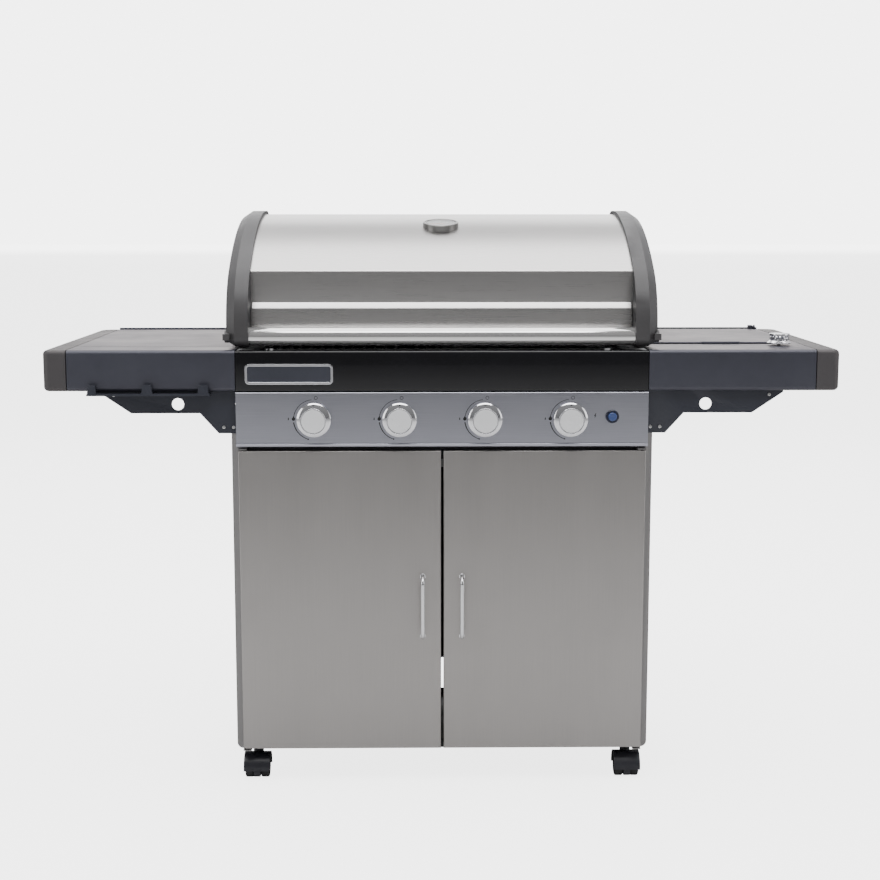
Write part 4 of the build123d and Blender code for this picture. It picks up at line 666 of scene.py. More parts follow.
capRight = endCap()
capLeft = copyOf(capRight, "hoodEndCapLeft", mirrorX=True)
for side, piece in (("right", capRight), ("left", capLeft)):
    dress(piece, "castGrey", "hood", ["hood_end_cap_" + side])
    # painted shade: the flank next to the steel, in the shadow of the gap, is given a near-black material
    piece.data.materials.append(materials["innerPaintAndPaintedShade"])
    for face in piece.data.polygons:
        if abs(face.normal.x) > 0.9 and abs(face.center.x) * 1000 < hood["half"] + 1:
            face.material_index = 1
(boreR, hingeR), (hingeLow, hingeHigh) = cap["hinge"], cap["hingeX"]
hinge = spun("hingeBossRight", [(boreR, hingeLow), (hingeR - 1, hingeLow), (hingeR, hingeLow + 1),
                                (hingeR, hingeHigh), (boreR, hingeHigh), (boreR, hingeLow)],
             (0, cap["pinY"], cap["pinZ"]), "X", 40)
dress(hinge, "castGrey", "hood")
dress(copyOf(hinge, "hingeBossLeft", mirrorX=True), "castGrey", "hood")
print("hood end caps")

tube = {"r": 19, "wall": 1.5, "bore": 50, "soft": 0.4}
handle = startRound("hoodHandleTube", tube["r"], 2 * hood["half"], (0, *boltAt), "X", 72)
pickFaces(handle, lambda c, n: abs(n.x) > 0.9)
insetBy(tube["wall"])
swellBy(-tube["bore"])
objectMode()
softenEdges(handle, tube["soft"], 2, 40)
dress(handle, "tubeSteel", "hood", ["hood_handle"])

bolt = {"head": 5.6, "high": 3.2, "socket": 2.4 / 5.6, "deep": 1.8, "sunk": 8}


def capScrew(name, centre, axis, head=bolt["head"], high=bolt["high"]):
    # round head with a hexagon socket
    profile = [(0, 0), (head, 0), (head, high * 0.55), (head * 0.86, high * 0.9), (head * 0.7, high),
               (0, high)]
    piece = spun(name, profile, centre, axis, 32)
    top = Vector(centre) + axisWay[axis] * high
    cutWith(piece, startRound("socketCut", head * bolt["socket"], 2 * bolt["deep"], top, axis, 6))
    return piece


capBolt = capScrew("handleBoltRight", (capOuter - bolt["sunk"], *boltAt), "X")
dress(capBolt, "boltZinc", "hood")
dress(copyOf(capBolt, "handleBoltLeft", mirrorX=True), "boltZinc", "hood")
print("hood handle")

# thermometer: made upright at the origin, then leaned over with the dome
gauge = {"place": 16.5, "lean": 11, "r": 39, "high": 10, "dial": 33, "floor": 4, "skirt": 8}
gaugeAt = Vector((0, hood["domeY"] - hood["domeR"] * math.sin(math.radians(gauge["place"])),
                  hood["domeZ"] + hood["domeR"] * math.cos(math.radians(gauge["place"]))))


def leanOver(piece):
    piece.rotation_euler = (math.radians(gauge["lean"]), 0, 0)
    piece.location = gaugeAt / 1000
    applyPlace(piece)
    return piece


caseR, dialR = gauge["r"], gauge["dial"]
rimTop, floorUp, foot = gauge["high"], gauge["floor"], -gauge["skirt"]
bezel = spun("gaugeBezel", [(dialR, floorUp - 0.5), (dialR, rimTop - 2), (dialR + 0.5, rimTop - 1),
                            (dialR + 1.2, rimTop - 0.4), (dialR + 2.4, rimTop - 0.1),
                            (dialR + 4, rimTop - 0.1), (dialR + 5.2, rimTop - 0.5), (caseR, rimTop - 1.4),
                            (caseR, rimTop - 1.9), (caseR, foot), (dialR, foot), (dialR, floorUp - 0.5)],
             (0, 0, 0), "Z", 96)
leanOver(bezel)
# its foot follows the dome
cutWith(bezel, startRound("domeCut", hood["domeR"] + 0.1, 4 * caseR, (0, *dome), "X", 720))
dress(bezel, "gaugeSteel", "hood", ["thermometer_case"], 28)
stemRod = spun("gaugeStem", [(0, -55), (2.6, -55), (4, -53), (4, 0.2), (11, 0.2), (11, 1.8), (0, 1.8)],
               (0, 0, 0), "Z", 32)
dress(leanOver(stemRod), "boltZinc", "hood")
dialFace = spun("gaugeDial", [(0, floorUp - 1), (dialR + 0.4, floorUp - 1), (dialR + 0.4, floorUp - 0.2),
                              (dialR - 1, floorUp), (1.4, floorUp), (1.4, floorUp + 2), (0, floorUp + 2.2)],
                (0, 0, 0), "Z", 72)
dress(leanOver(dialFace), "dialPaintedShade", "hood", angle=25)


def flatText(words, size, place):
    clearSelection()
    bpy.ops.object.text_add(location=mm(*place))
    text = bpy.context.object
    text.data.body = words
    text.data.size = size / 1000
    text.data.align_x = "CENTER"
    text.data.align_y = "CENTER"
    text.data.extrude = 0.00005
    text.data.resolution_u = 3
    bpy.ops.object.convert(target="MESH")
    piece = named("dialText")
    applyPlace(piece)
    return piece


# ticks every ten degrees from where the needle rests, and a number at every fifth of them
scale = {"ticks": 26, "start": 180, "apart": 10, "every": 5, "outer": 27.5, "long": 6, "short": 3,
         "halfWide": 0.35, "numbersR": 17.2, "textSize": 5, "first": 50, "rise": 14}
dialMarks = []
for i in range(scale["ticks"]):
    angle = math.radians(scale["start"] - i * scale["apart"])
    numbered = i % scale["every"] == 0
    inner = scale["outer"] - scale["long" if numbered else "short"]
    tick = startBox("tick", (inner, -scale["halfWide"], floorUp - 0.02),
                    (scale["outer"], scale["halfWide"], floorUp + 0.12))
    dialMarks.append(setDown(tick, (0, 0, 0), (0, 0, angle)))
    if numbered:
        place = (scale["numbersR"] * math.cos(angle), scale["numbersR"] * math.sin(angle), floorUp + 0.06)
        dialMarks.append(flatText(str(scale["first"] + i * scale["rise"]), scale["textSize"], place))
dress(leanOver(joined(dialMarks, "gaugeMarks")), "printBlack", "hood")
gaugeGlass = copyOf(nodes["thermometer_glass"], "gaugeGlass")
dress(gaugeGlass, "dialGlass", "hood", ["thermometer_glass"])
print("thermometer")

# fascia, badge and control panel: the front faces share one plane and fold back to another
front, foldY = -280.0, -262
fascia = {"half": 424.5, "low": 838, "top": 921, "back": -218, "sheet": 1.5, "skirtLow": 915, "round": 4,
          "lowRound": 3.6}
fasciaPan = foldedPan("frontFascia", (-fascia["half"], front, fascia["low"]),
                      (fascia["half"], foldY, fascia["top"]), "back", fascia["sheet"],
                      [(edgeAt(y=front, z=fascia["top"]), fascia["round"], 5),
                       (edgeAt(y=front, z=fascia["low"]), fascia["lowRound"], 5)])
under, skirtY = fascia["top"] - fascia["sheet"], fascia["back"] - fascia["sheet"]
shelf = startBox("fasciaReturn", (-fascia["half"], foldY - 0.5, under),
                 (fascia["half"], fascia["back"], fascia["top"]))
cutAcross(shelf, "y", skirtY)
pickFaces(shelf, lambda c, n: n.z < -0.9 and c.y > skirtY)
stepBy(0, 0, fascia["skirtLow"] - under)
fasciaPiece = joined([fasciaPan, shelf], "frontFascia")
dress(fasciaPiece, "fasciaGloss", "cart", ["front_fascia"], 40)

badge = {"left": -405.5, "right": -224.5, "low": 852.5, "top": 894.5, "proud": 2.6, "frame": 4.5, "round": 9,
         "margin": 4.8, "faceIn": 0.9, "faceThick": 0.4}
badgeY, margin = front - badge["proud"], badge["margin"]
badgeFrame = startBox("badgeFrame", (badge["left"], badgeY, badge["low"]),
                      (badge["right"], front, badge["top"]))
bevelEdges(badgeFrame, lambda a, b: abs(a.y - b.y) > 1, badge["round"], 8)
pickFaces(badgeFrame, lambda c, n: n.y < -0.9)
insetBy(badge["frame"])
insetBy(0.6, -1.2)
objectMode()
softenEdges(badgeFrame, 0.5, 3, 40)
dress(badgeFrame, "plateChrome", "cart")
faceY = badgeY + badge["faceIn"]
badgeFace = startBox("badgeFace", (badge["left"] + margin, faceY, badge["low"] + margin),
                     (badge["right"] - margin, faceY + badge["faceThick"], badge["top"] - margin))
bevelEdges(badgeFace, lambda a, b: abs(a.y - b.y) > 0.3, badge["round"] - margin, 6)
dress(badgeFace, "badgeFace", "cart")

panel = {"half": 425.5, "low": 722, "top": 836.5, "sheet": 1.5, "lowRound": 6, "topRound": 3.2, "lip": 729.5,
         "lipProud": 3.2, "lipRound": 3.1}
panelPiece = foldedPan("controlPanel", (-panel["half"], front, panel["low"]),
                       (panel["half"], foldY, panel["top"]), "back", panel["sheet"],
                       [(edgeAt(y=front, z=panel["low"]), panel["lowRound"], 7),
                        (edgeAt(y=front, z=panel["top"]), panel["topRound"], 5), (uprightAt(front), 1.0, 2)])
# a rolled bead along the lower edge
cutAcross(panelPiece, "z", panel["lip"], panel["lip"] + 0.8)
beadBack = front + panel["lowRound"] + 0.2
pickFaces(panelPiece, lambda c, n: n.y < -0.05 and c.y < beadBack and c.z < panel["lip"])
stepBy(0, -panel["lipProud"], 0)
bevelEdges(panelPiece, edgeAt(y=front - panel["lipProud"], z=panel["lip"]), panel["lipRound"], 5)
dress(panelPiece, "panelSteel", "cart", ["control_panel"], 40)
print("fascia and control panel")

# knobs: made lying flat at the origin, with their faces up
knobPlaces = [-264.8, -88.3, 88.3, 264.8]
knob = {"z": 779, "back": -284.5, "skirt": 35.5, "waist": 22.5, "disc": 26.5, "deep": 24, "ribs": 16}
sideKnob = {"place": (717, -169, 927.5), "skirt": 25.5, "waist": 18.2, "disc": 21.8, "deep": 21, "ribs": 14}
dot = {"r": 1.9, "high": 0.8, "out": 30.5, "up": 4.2, "sideMove": (0, -8.5, -0.4)}


def knobForm(name, size):
    # turned body, then every other face of its waist drawn out into a rib
    skirt, waist, disc, deep, ribs = [size[key] for key in ("skirt", "waist", "disc", "deep", "ribs")]
    profile = [(4.1, 16), (4.1, 0.4), (skirt - 1.2, 0), (skirt, 0.9), (skirt - 0.2, 1.9), (skirt - 2.5, 3.1),
               (min(disc + 3, skirt - 4.5), 5.4), (waist + 1.6, 6.4), (waist, 7.6), (waist, deep - 8.2),
               (waist + 0.8, deep - 7), (disc - 1, deep - 5), (disc, deep - 4), (disc, deep - 1.2),
               (disc - 0.25, deep - 0.5), (disc - 0.6, deep - 0.3), (disc - 1, deep - 0.5),
               (disc - 1.1, deep - 4), (disc - 2.8, deep - 4), (disc - 2.8, deep - 1.6), (0, deep - 1.6)]
    piece = spun(name, profile, (0, 0, 0), "Z", 4 * ribs)

    def ribFace(c, n):
        onWaist = abs(n.z) < 0.3 and waist - 2 < math.hypot(c.x, c.y) < waist + 0.5 and 7.6 < c.z < deep - 8
        sector = int((math.degrees(math.atan2(c.y, c.x)) % 360) / (90 / ribs))
        return onWaist and sector % 4 in (0, 1)

    pickFaces(piece, ribFace)
    swellBy((disc - waist) * 0.72)
    objectMode()
    softenEdges(piece, 0.35, 2, 38)
    return piece


def knobFace(name, size):
    # satin plate let into the front of a knob
    reach, deep = size["disc"] - 2.6, size["deep"]
    return spun(name, [(0, deep - 1.7), (reach, deep - 1.7), (reach, deep - 0.6), (reach - 0.3, deep - 0.2),
                       (reach - 1, deep), (0, deep)], (0, 0, 0), "Z", 64)


knobParts = [(knobForm("knobMaster", knob), "burnerKnob", "knobChrome", 34),
             (knobFace("knobFaceMaster", knob), "knobFace", "knobSatin", 25),
             (spun("knobDotMaster", [(0, 0), (dot["r"], 0), (dot["r"], dot["high"]), (1.5, 1.05), (0, 1.05)],
                   (0, dot["out"], dot["up"]), "Z", 20), "knobDot", "printBlack", 32)]
for number, x in enumerate(knobPlaces, 1):
    for master, name, finish, angle in knobParts:
        piece = setDown(copyOf(master, f"{name}{number}"), (x, knob["back"], knob["z"]), (math.pi / 2, 0, 0))
        if name == "burnerKnob":
            dress(piece, finish, f"knob_{number}", [f"burner_knob_{number}"], angle)
        else:
            dress(piece, finish, f"knob_{number}", angle=angle)
sidePiece = setDown(knobForm("sideBurnerKnob", sideKnob), sideKnob["place"])
dress(sidePiece, "knobChrome", "side_knob", ["side_burner_knob"], 34)
dress(setDown(knobFace("sideKnobFace", sideKnob), sideKnob["place"]), "knobSatin", "side_knob", angle=25)
sideDotAt = [a + b for a, b in zip(sideKnob["place"], dot["sideMove"])]
dress(copyOf(knobParts[2][0], "sideKnobDot", sideDotAt), "printBlack", "side_knob")
for master, *rest in knobParts:
    bpy.data.objects.remove(master)
print("knobs")

# printed signs round the knobs
signs = {"deep": 0.12, "sunk": 0.02, "ring": 42, "offUp": 45.4, "offAside": 4.4, "offR": 3.2,
         "offStroke": 0.9, "flameUp": 3, "smallAside": 10.5, "dotR": 1.5, "dotAt": 253}
signY = front - signs["sunk"]
flame = [(0, 4.6), (1.3, 2.9), (2.0, 1.2), (2.5, 1.9), (3.0, -0.6), (2.5, -2.9), (1.3, -4.1), (0, -4.5),
         (-1.4, -4.1), (-2.6, -2.9), (-3.0, -0.8), (-2.0, 0.8), (-1.3, 2.0), (-0.7, 3.0)]
spark = [(0.6, 5.2), (-2.2, -0.4), (-0.4, -0.4), (-1.4, -5.2), (2.2, 0.9), (0.3, 0.9), (2.4, 5.2)]
sparkX, sparkZ = 315.5, 786.5


def signFace(name, corners):
    # a flat sign cut from an outline of (across, up) corners
    places = [(a, signY, b) for a, b in corners]
    piece = startChain(name, places[0])
    drawPath(places)
    closeOutline()
    stepBy(0, -signs["deep"], 0)
    outward(piece)
    return piece


def signArc(name, x, z, start, end, widths, steps):
    # an arc whose stroke swells from one width to the other; degrees from the right, anticlockwise
    outer, inner = [], []
    for i in range(steps + 1):
        share = i / steps
        angle = math.radians(start + (end - start) * share)
        half = (widths[0] + (widths[1] - widths[0]) * share) / 2
        for side, radius in ((outer, signs["ring"] + half), (inner, signs["ring"] - half)):
            side.append((x + radius * math.cos(angle), z + radius * math.sin(angle)))
    return signFace(name, outer + inner[::-1])


def signRing(name, x, z, radius, stroke):
    low, high, deep = radius - stroke / 2, radius + stroke / 2, signs["deep"]
    return spun(name, [(low, 0), (high, 0), (high, deep), (low, deep), (low, 0)], (x, signY, z), "Y", 32)


def flameFace(name, x, z, wide, high):
    return signFace(name, [(x + a * wide, z + b * high) for a, b in flame])


for number, x in enumerate(knobPlaces, 1):
    z, ring, dotTurn = knob["z"], signs["ring"], math.radians(signs["dotAt"])
    dotPlace = (x + ring * math.cos(dotTurn), signY, z + ring * math.sin(dotTurn))
    flameZ = z + signs["flameUp"]
    offPlace = (x + signs["offAside"], z + signs["offUp"])
    dotProfile = [(0, 0), (signs["dotR"], 0), (signs["dotR"], signs["deep"]), (0, signs["deep"])]
    parts = [signRing("offSign", *offPlace, signs["offR"], signs["offStroke"]),
             signArc("thinArc", x, z, 96, 170, (0.9, 1.3), 18),
             flameFace("flameSign", x - ring, flameZ, 1.25, 1.1),
             signArc("thickArc", x, z, 187, 252, (2.3, 1.3), 20),
             flameFace("smallFlame", x - ring - signs["smallAside"], flameZ - 0.6, 0.36, 0.72),
             spun("arcDot", dotProfile, dotPlace, "Y", 20)]
    dress(joined(parts, f"knobSigns{number}"), "printBlack", "cart", angle=20)
dress(signFace("sparkSign", [(sparkX + a, sparkZ + b) for a, b in spark]), "printBlack", "cart", angle=20)
print("printed signs")

# igniter
igniterAt = (351, front, 785)
ringProfile = [(9.1, -26), (9.1, 2.6), (10.4, 3.4), (12.4, 3.4), (13.6, 2.4), (14, 0.8), (14, 0), (10.75, 0),
               (10.75, -30), (9.4, -30), (9.1, -26)]
ringPiece = spun("igniterRing", ringProfile, igniterAt, "Y", 64)
dress(ringPiece, "igniterRing", "cart", ["igniter_body"], 40)
buttonProfile = [(0, -16), (9, -16), (9, 6.2), (8.5, 7.4), (7.4, 8), (4.5, 7.7), (0, 7.3)]
buttonPiece = spun("igniterButton", buttonProfile, igniterAt, "Y", 64)
dress(buttonPiece, "buttonBlue", "igniter_push", ["igniter_button"], 40)

# doors
door = {"inner": 2.5, "outer": 422.5, "low": 74, "top": 714, "thick": 15, "lip": 14, "sheet": 1.2, "bend": 3,
        "endRound": 1.6}
doorBack = front + door["thick"]
rightDoor = foldedPan("rightDoor", (door["inner"], front, door["low"]),
                      (door["outer"], doorBack, door["top"]), "back", door["sheet"],
                      [(uprightAt(front), door["bend"], 5), (uprightAt(doorBack), door["bend"], 4),
                       (edgeAt(y=front, z=door["top"]), door["endRound"], 3),
                       (edgeAt(y=front, z=door["low"]), door["endRound"], 3)], door["lip"])
leftDoor = copyOf(rightDoor, "leftDoor", mirrorX=True)
dress(rightDoor, "doorSteel", "door_right", ["right_door"], 40)
dress(leftDoor, "doorSteel", "door_left", ["left_door"], 40)

bow = {"x": 41, "low": 320, "high": 448, "rod": 4, "reach": 26, "bend": 13}


def bowHandle():
    # a ring drawn out of the door, round one bend, up, and round the other bend
    clearSelection()
    bpy.ops.mesh.primitive_circle_add(vertices=28, radius=bow["rod"] / 1000, fill_type="NGON",
                                      location=mm(bow["x"], front, bow["low"]), rotation=(math.pi / 2, 0, 0))
    piece = named("rightDoorHandle")
    applyPlace(piece)
    editMode("FACE")
    selectAll()
    bendY = front - bow["reach"] + bow["bend"]
    stepBy(0, bow["bend"] - bow["reach"], 0)
    sweepBy(-90, (bow["x"], bendY, bow["low"] + bow["bend"]), 12)
    stepBy(0, 0, bow["high"] - bow["low"] - 2 * bow["bend"])
    sweepBy(-90, (bow["x"], bendY, bow["high"] - bow["bend"]), 12)
    stepBy(0, bow["reach"] - bow["bend"], 0)
    outward(piece)
    return piece


rightBow = bowHandle()
collarProfile = [(4.1, 0), (6.4, 0), (6.4, 1.4), (5.6, 2.4), (4.1, 2.6)]
collars = [spun("bowCollar", collarProfile, (bow["x"], front, z), "Y", 28) for z in (bow["low"], bow["high"])]
rightCollars = joined(collars, "rightHandleCollars")
leftBow = copyOf(rightBow, "leftDoorHandle", mirrorX=True)
dress(leftBow, "handleChrome", "door_left", ["left_door_handle"])
dress(copyOf(rightCollars, "leftHandleCollars", mirrorX=True), "handleChrome", "door_left")
dress(rightBow, "handleChrome", "door_right", ["right_door_handle"])
dress(rightCollars, "handleChrome", "door_right")
print("doors")

# side tables
table = {"inner": 426, "seam": 770, "low": 838, "top": 923, "back": 310, "sheet": 2, "edge": 9, "lip": 15,
         "rim": 8, "rimUp": 4, "rimRound": 1.5, "groove": -185, "grooveWide": 2.4, "grooveDeep": 1.6}
# the right table is cut out over its burner: x from and to, y from and to
burnerRoom = (463, 737, -123, 247)


def tableTop(name, cutOut=None):
    grooveEnd, rimY = table["groove"] + table["grooveWide"], table["back"] - table["rim"]
    piece = startBox(name, (table["inner"], front, table["low"]),
                     (table["seam"], table["back"], table["top"]))
    for z in (table["top"], table["low"]):
        bevelEdges(piece, edgeAt(y=front, z=z), table["edge"], 7)
    cutAcross(piece, "y", front + table["lip"], table["groove"], grooveEnd, rimY)
    if cutOut:
        cutAcross(piece, "x", *cutOut[:2])
        cutAcross(piece, "y", *cutOut[2:])
    pickFaces(piece, lambda c, n: n.z > 0.99 and table["groove"] < c.y < grooveEnd)
    stepBy(0, 0, -table["grooveDeep"])
    pickFaces(piece, lambda c, n: n.z > 0.99 and c.y > rimY)
    stepBy(0, 0, table["rimUp"])
    pickFaces(piece, lambda c, n: n.z < -0.99 and c.y > front + table["lip"])
    deleteFaces()
    if cutOut:
        x0, x1, y0, y1 = cutOut
        pickFaces(piece, lambda c, n: n.z > 0.99 and x0 < c.x < x1 and y0 < c.y < y1)
        deleteFaces()
    rimLow = table["top"] + 3
    bevelEdges(piece, lambda a, b: abs(a.x - b.x) > 3 and a.y > rimY - 1 and min(a.z, b.z) > rimLow,
               table["rimRound"], 3)
    giveSheet(piece, table["sheet"])
    return piece


# the lid turns in lugs on the table: x from and to of each lug, and how far its pin reaches
lidHinge, lidLugs = (0, 260, 930), ((443, 448, 458), (752, 756, 742))
hingeY, hingeZ = lidHinge[1:]
lug = {"r": 5.9, "neck": 5.5, "pin": 2.5, "footHalf": 5.8, "footLow": 922.5}
leftMaster = tableTop("tableRight")
leftTable = copyOf(leftMaster, "leftTableTop", mirrorX=True)
bpy.data.objects.remove(leftMaster)
dress(leftTable, "tablePaint", "cart", ["left_table_top"], 40)
rightParts = [tableTop("rightTableTop", burnerRoom)]
for x0, x1, tip in lidLugs:
    profile = [(0, x0), (lug["neck"], x0), (lug["r"], x0 + 0.6), (lug["r"], x1 - 0.6), (lug["neck"], x1),
               (0, x1)]
    rightParts.append(spun("lidLug", profile, lidHinge, "X", 28))
    rightParts.append(startBox("lidLugFoot", (x0, hingeY - lug["footHalf"], lug["footLow"]),
                               (x1, hingeY + lug["footHalf"], hingeZ)))
    pinMiddle = ((x0 + tip) / 2, hingeY, hingeZ)
    rightParts.append(startRound("lidPin", lug["pin"], abs(tip - x0), pinMiddle, "X", 20))
dress(joined(rightParts, "rightTableTop"), "tablePaint", "cart", ["right_table_top"], 40)

endCover = {"seam": 772, "frontX": 819.8, "backX": 814.8, "low": 838, "top": 923, "wall": 3, "frontRound": 14,
            "backRound": 30, "edge": 9, "mouth": (773.5, 799, -265, 294)}


def tableEndCap():
    seam, back = endCover["seam"], table["back"]
    piece = startChain("rightTableEndCap", (seam, front, endCover["low"]))
    drawPath([(seam, front, 0), (endCover["frontX"], front, 0), (endCover["backX"], back, 0),
              (seam, back, 0)])
    closeOutline()
    stepBy(0, 0, endCover["top"] - endCover["low"])
    outward(piece)
    for y, radius in ((front, endCover["frontRound"]), (back, endCover["backRound"])):
        bevelEdges(piece, lambda a, b: uprightAt(y)(a, b) and a.x > seam + 20, radius, 10)
    for z in (endCover["top"], endCover["low"]):
        bevelEdges(piece, lambda a, b: edgeAt(z=z)(a, b) and max(a.x, b.x) > seam + 1, endCover["edge"], 6)
    # the lower edge turns in under the cover
    low, high, near, far = endCover["mouth"]
    cutAcross(piece, "x", low, high)
    cutAcross(piece, "y", near, far)
    pickFaces(piece, lambda c, n: n.z < -0.99 and low < c.x < high and near < c.y < far)
    deleteFaces()
    giveSheet(piece, endCover["wall"])
    return piece


rightCover = tableEndCap()
leftCover = copyOf(rightCover, "leftTableEndCap", mirrorX=True)
dress(leftCover, "endCapPlastic", "cart", ["left_table_end_cap"], 40)
dress(rightCover, "endCapPlastic", "cart", ["right_table_end_cap"], 40)
print("side tables")

# side burner lid
lid = {"x0": 450, "x1": 750, "y0": -131, "y1": 255, "low": 923.4, "top": 926.8, "sheet": 1.2, "lip": 84,
       "lipUp": 1.4, "lipDeep": 31, "lipProud": 5, "ears": (450.6, 739.4), "ear": (2.6, 5.8), "earLong": 10,
       "armY": (251, 257.6), "armTop": 934}


def lidPan(name, low, high, cornerRound, cornerSteps, rimRound, rimSteps):
    # rounded at its corners and along its upper edge, open below
    corners = (lambda a, b: abs(a.z - b.z) > 1, cornerRound, cornerSteps)
    rim = (lambda a, b: min(a.z, b.z) > high[2] - 0.1, rimRound, rimSteps)
    return foldedPan(name, low, high, "under", lid["sheet"], [corners, rim])


lipX, lipY = (lid["x0"] + lid["x1"]) / 2, lid["y0"] - lid["lipProud"]
lidLow, lidHigh = (lid["x0"], lid["y0"], lid["low"]), (lid["x1"], lid["y1"], lid["top"])
lipLow = (lipX - lid["lip"] / 2, lipY, lid["low"])
lipHigh = (lipX + lid["lip"] / 2, lipY + lid["lipDeep"], lid["top"] + lid["lipUp"])
lidParts = [lidPan("sideBurnerLid", lidLow, lidHigh, 6, 5, 2.4, 5),
            lidPan("lidLip", lipLow, lipHigh, 7, 6, 2.6, 4)]
(earIn, earOut), (armNear, armFar) = lid["ear"], lid["armY"]
for x0 in lid["ears"]:
    x1 = x0 + lid["earLong"]
    lidParts.append(spun("lidEar", [(earIn, x0), (earOut, x0), (earOut, x1), (earIn, x1), (earIn, x0)],
                         lidHinge, "X", 28))
    armLow, armHigh = (x0 + 0.2, armNear, lid["top"] - 1), (x1 - 0.2, armFar, lid["armTop"])
    lidParts.append(startBox("lidArm", armLow, armHigh))
dress(joined(lidParts, "sideBurnerLid"), "tablePaint", "side_lid", ["side_burner_lid"], 40)
print("side burner lid")

# casters: swivel places, and how far the axle trails behind the swivel
casterPlaces = [(-396, -222, -20), (396, -222, -20), (-396, 118, 20), (396, 118, 20)]
wheel = {"r": 25, "web": 7.6, "wide": 18, "axle": 4}


def wheelHalf(side, centre):
    r, a = wheel["r"], wheel["web"]
    b = a + wheel["wide"]
    profile = [(wheel["axle"], a), (r - 3.5, a), (r - 1, a + 1), (r, a + 3.2), (r, b - 3.2), (r - 1, b - 1),
               (r - 3.5, b), (r - 5.2, b - 0.5), (r - 6, b - 3), (10, b - 3.6), (9, b - 0.6), (7.5, b),
               (0, b)]
    return spun("wheelHalf", [(radius, side * h) for radius, h in profile], centre, "X", 56)


for number, (x, y, trail) in enumerate(casterPlaces, 1):
    axleAt = (x, y + trail, wheel["r"])
    axle = startRound("wheelAxle", wheel["axle"], 2 * wheel["web"] + 2, axleAt, "X", 28)
    pair = joined([wheelHalf(-1, axleAt), wheelHalf(1, axleAt), axle], f"casterWheels{number}")
    dress(pair, "treadRubber", f"wheels_{number}", [f"caster_wheels_{number}"], 35)
print("caster wheels")

# the rest of the sheet metal and castings
# each node below keeps its CAD shape: a copy is merged, its edges are eased and its rounds are smoothed
# the rows give the body, the radius of the eased edges and the nodes
finishes = {
    "cartPaint": ("cart", 0.5, ["left_side_panel", "right_side_panel"]),
    "innerPaintAndPaintedShade": ("cart", 0.4, ["base_shelf", "rear_panel", "front_rail"]),
    "enamel": ("cart", 0.0, ["firebox"]),
    "burnerSteel": ("cart", 0.0, ["burner_tubes", "flame_tamers", "side_burner_bowl"]),
    "castIron": ("cart", 0.8, ["cooking_grate", "griddle_plate", "pan_support", "side_burner_cap"]),
    "rackChrome": ("cart", 0.0, ["warming_rack"]),
    "boltZinc": ("cart", 0.0, ["gas_manifold", "hood_hinge_pins", "caster_plates"]),
    "valveBrass": ("cart", 0.4, ["gas_valves", "side_burner_head"]),
    "bracketPaint": ("cart", 0.3, ["table_brackets", "tool_rail"]),
    "trayZinc": ("tray", 0.3, ["grease_tray"]),
    "needleRed": ("needle", 0.0, ["thermometer_needle"]),
}


def eased(node, finish, body, radius):
    piece = copyOf(nodes[node], node + "Finished")
    takeUp(piece)
    editMode()
    weld()
    bpy.ops.mesh.dissolve_limited(angle_limit=math.radians(0.5))
    objectMode()
    if radius:
        softenEdges(piece, radius, 2, 50)
    return dress(piece, finish, body, [node], 24)


done = {node: eased(node, finish, body, radius)
        for finish, (body, radius, members) in finishes.items() for node in members}
# the rear panel's middle vent is closed: its walls go and both openings are filled
vent = {"halfX": 4.5, "low": 560, "high": 640}
pickFaces(done["rear_panel"], lambda c, n: abs(c.x) < vent["halfX"] and abs(n.y) < 0.5
          and vent["low"] < c.z < vent["high"])
deleteFaces()
selectAll()
bpy.ops.mesh.fill_holes(sides=0)
objectMode()
for number in range(1, 5):
    eased(f"valve_stem_{number}", "boltZinc", f"stem_{number}", 0)
    eased(f"caster_body_{number}", "casterPlastic", f"caster_{number}", 0.6)
eased("side_stem", "boltZinc", "side_valve_stem", 0)
print("remaining nodes finished")

# small fasteners
screw = {"head": 3.6, "high": 2.0, "y": -264, "places": ((452, 762), (432, 762), (678, 829))}
screwMaster = capScrew("screwMaster", (0, 0, 0), "Y", screw["head"], screw["high"])
screwPlaces = [(side * x, screw["y"], z) for side in (-1, 1) for x, z in screw["places"]]
for count, place in enumerate(screwPlaces, 1):
    dress(copyOf(screwMaster, f"bracketScrew{count}", place), "boltZinc", "cart")
bpy.data.objects.remove(screwMaster)
print("screws")

# floor, light and camera
stage = {"floorGlow": 3.5, "backGlow": 5.0, "backdrop": 5.8, "front": 0.25, "back": 1.0, "floorNear": 0.88,
         "floorFar": 0.62, "ambient": 0.9}
clearSelection()
bpy.ops.mesh.primitive_plane_add(size=120, location=(0, 40, 0))
floor = named("studioFloor")
floorMaterial, tree, shader, vector = startMaterial("floorPaint")
shader.inputs["Roughness"].default_value = 0.9
shader.inputs["Emission Color"].default_value = (1, 1, 1, 1)
split = addNode(tree, "ShaderNodeSeparateXYZ")
tree.links.new(vector, split.inputs[0])
# the floor lies in shade in front
shade = spread(tree, split.outputs["Y"], -8.0, -2.0, stage["floorFar"], stage["floorNear"])
tree.links.new(shade, shader.inputs["Base Color"])
# it glows more towards the back and runs out into the backdrop
seen = addNode(tree, "ShaderNodeLightPath").outputs["Is Camera Ray"]
glow = spread(tree, split.outputs["Y"], 1.0, 9.0, stage["floorGlow"], stage["backGlow"])
tree.links.new(mathNode(tree, "MULTIPLY", seen, glow), shader.inputs["Emission Strength"])
floor.data.materials.append(floorMaterial)

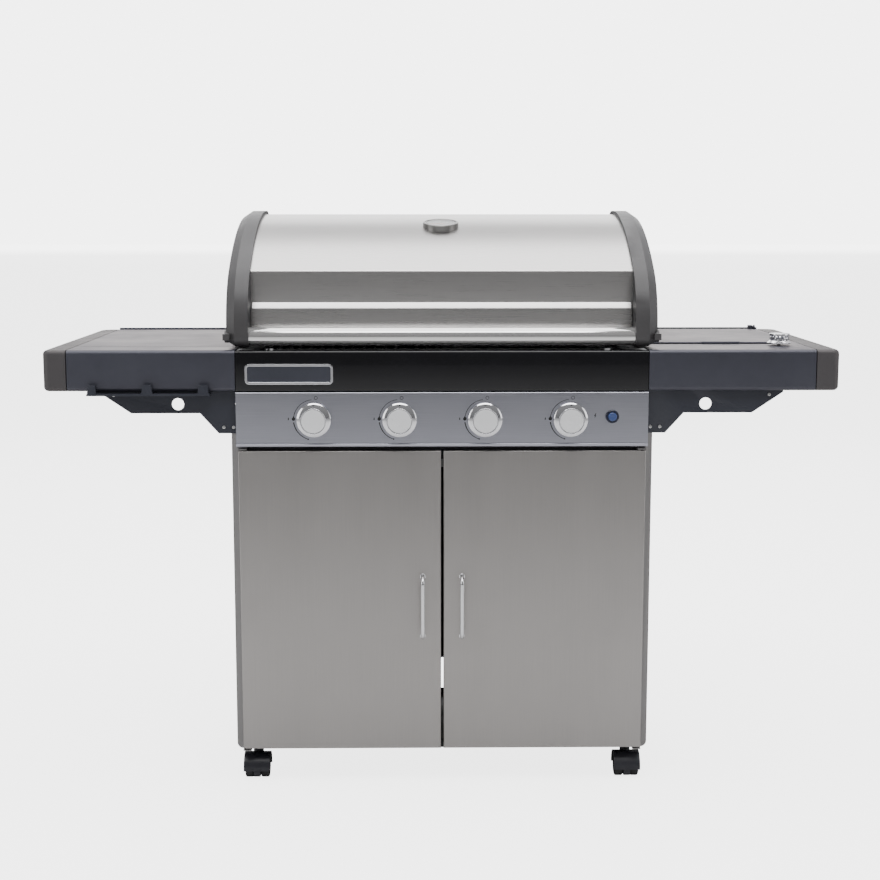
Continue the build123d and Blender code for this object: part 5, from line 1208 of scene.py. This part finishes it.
lights = {
    "topLight": {"place": (0, 0.6, 4.6), "aim": (0, 0, 1.0), "size": (5.5, 3.6), "power": 190},
    "frontFill": {"place": (0, -2.3, 5.0), "aim": (0, -0.2, 0.7), "size": (4.4, 1.8), "power": 150},
    "leftFill": {"place": (-4.2, -1.8, 2.0), "aim": (0, 0, 0.8), "size": (2.4, 2.8), "power": 44},
    "rightFill": {"place": (4.2, -1.4, 2.0), "aim": (0, 0, 0.8), "size": (2.4, 2.8), "power": 36},
    "backLight": {"place": (0, 4.5, 2.6), "aim": (0, 0, 0.9), "size": (4.0, 2.0), "power": 60},
}
for name, light in lights.items():
    clearSelection()
    bpy.ops.object.light_add(type="AREA", location=light["place"])
    lamp = bpy.context.object
    lamp.name = name
    lamp.data.shape = "RECTANGLE"
    lamp.data.size, lamp.data.size_y = light["size"]
    lamp.data.energy = light["power"]
    beam = Vector(light["aim"]) - Vector(light["place"])
    lamp.rotation_euler = beam.to_track_quat("-Z", "Y").to_euler()

world = bpy.data.worlds.new("studio")
bpy.context.scene.world = world
world.use_nodes = True
tree = world.node_tree
background = tree.nodes["Background"]
way = addNode(tree, "ShaderNodeTexCoord").outputs["Generated"]
split = addNode(tree, "ShaderNodeSeparateXYZ")
tree.links.new(way, split.inputs[0])
ramp = addNode(tree, "ShaderNodeValToRGB")
tree.links.new(spread(tree, split.outputs["Z"], -0.4, 1.0), ramp.inputs[0])
sky = [(0.0, 0.55), (0.26, 0.62), (0.36, 0.80), (0.55, 1.0), (1.0, 1.25)]
ramp.color_ramp.elements[0].position, ramp.color_ramp.elements[1].position = sky[0][0], sky[-1][0]
for place, value in sky[1:-1]:
    ramp.color_ramp.elements.new(place)
for element, (place, value) in zip(ramp.color_ramp.elements, sky):
    element.color = (value, value, value * 1.01, 1)
# the side behind the camera is dark, as in a studio
facing = spread(tree, split.outputs["Y"], -0.35, 0.5, stage["front"], stage["back"])
grey = addNode(tree, "ShaderNodeCombineColor")
for socket in grey.inputs:
    tree.links.new(facing, socket)
tinted = mixColour(tree, 1.0, ramp.outputs[0], grey.outputs[0], "MULTIPLY")
onlySeen = addNode(tree, "ShaderNodeLightPath").outputs["Is Camera Ray"]
tree.links.new(mixColour(tree, onlySeen, tinted, (stage["backdrop"],) * 3), background.inputs["Color"])
background.inputs["Strength"].default_value = stage["ambient"]

view = {"place": (-0.045, -3.470, 1.201), "down": 8.28, "right": 0.72, "lens": 36 * 1560 / 880, "film": 36}
clearSelection()
bpy.ops.object.camera_add(location=view["place"],
                          rotation=(math.radians(90 - view["down"]), 0, math.radians(-view["right"])))
camera = bpy.context.object
camera.data.lens = view["lens"]
camera.data.sensor_width = view["film"]
camera.data.clip_end = 60
bpy.context.scene.camera = camera
print("stage, light and camera")
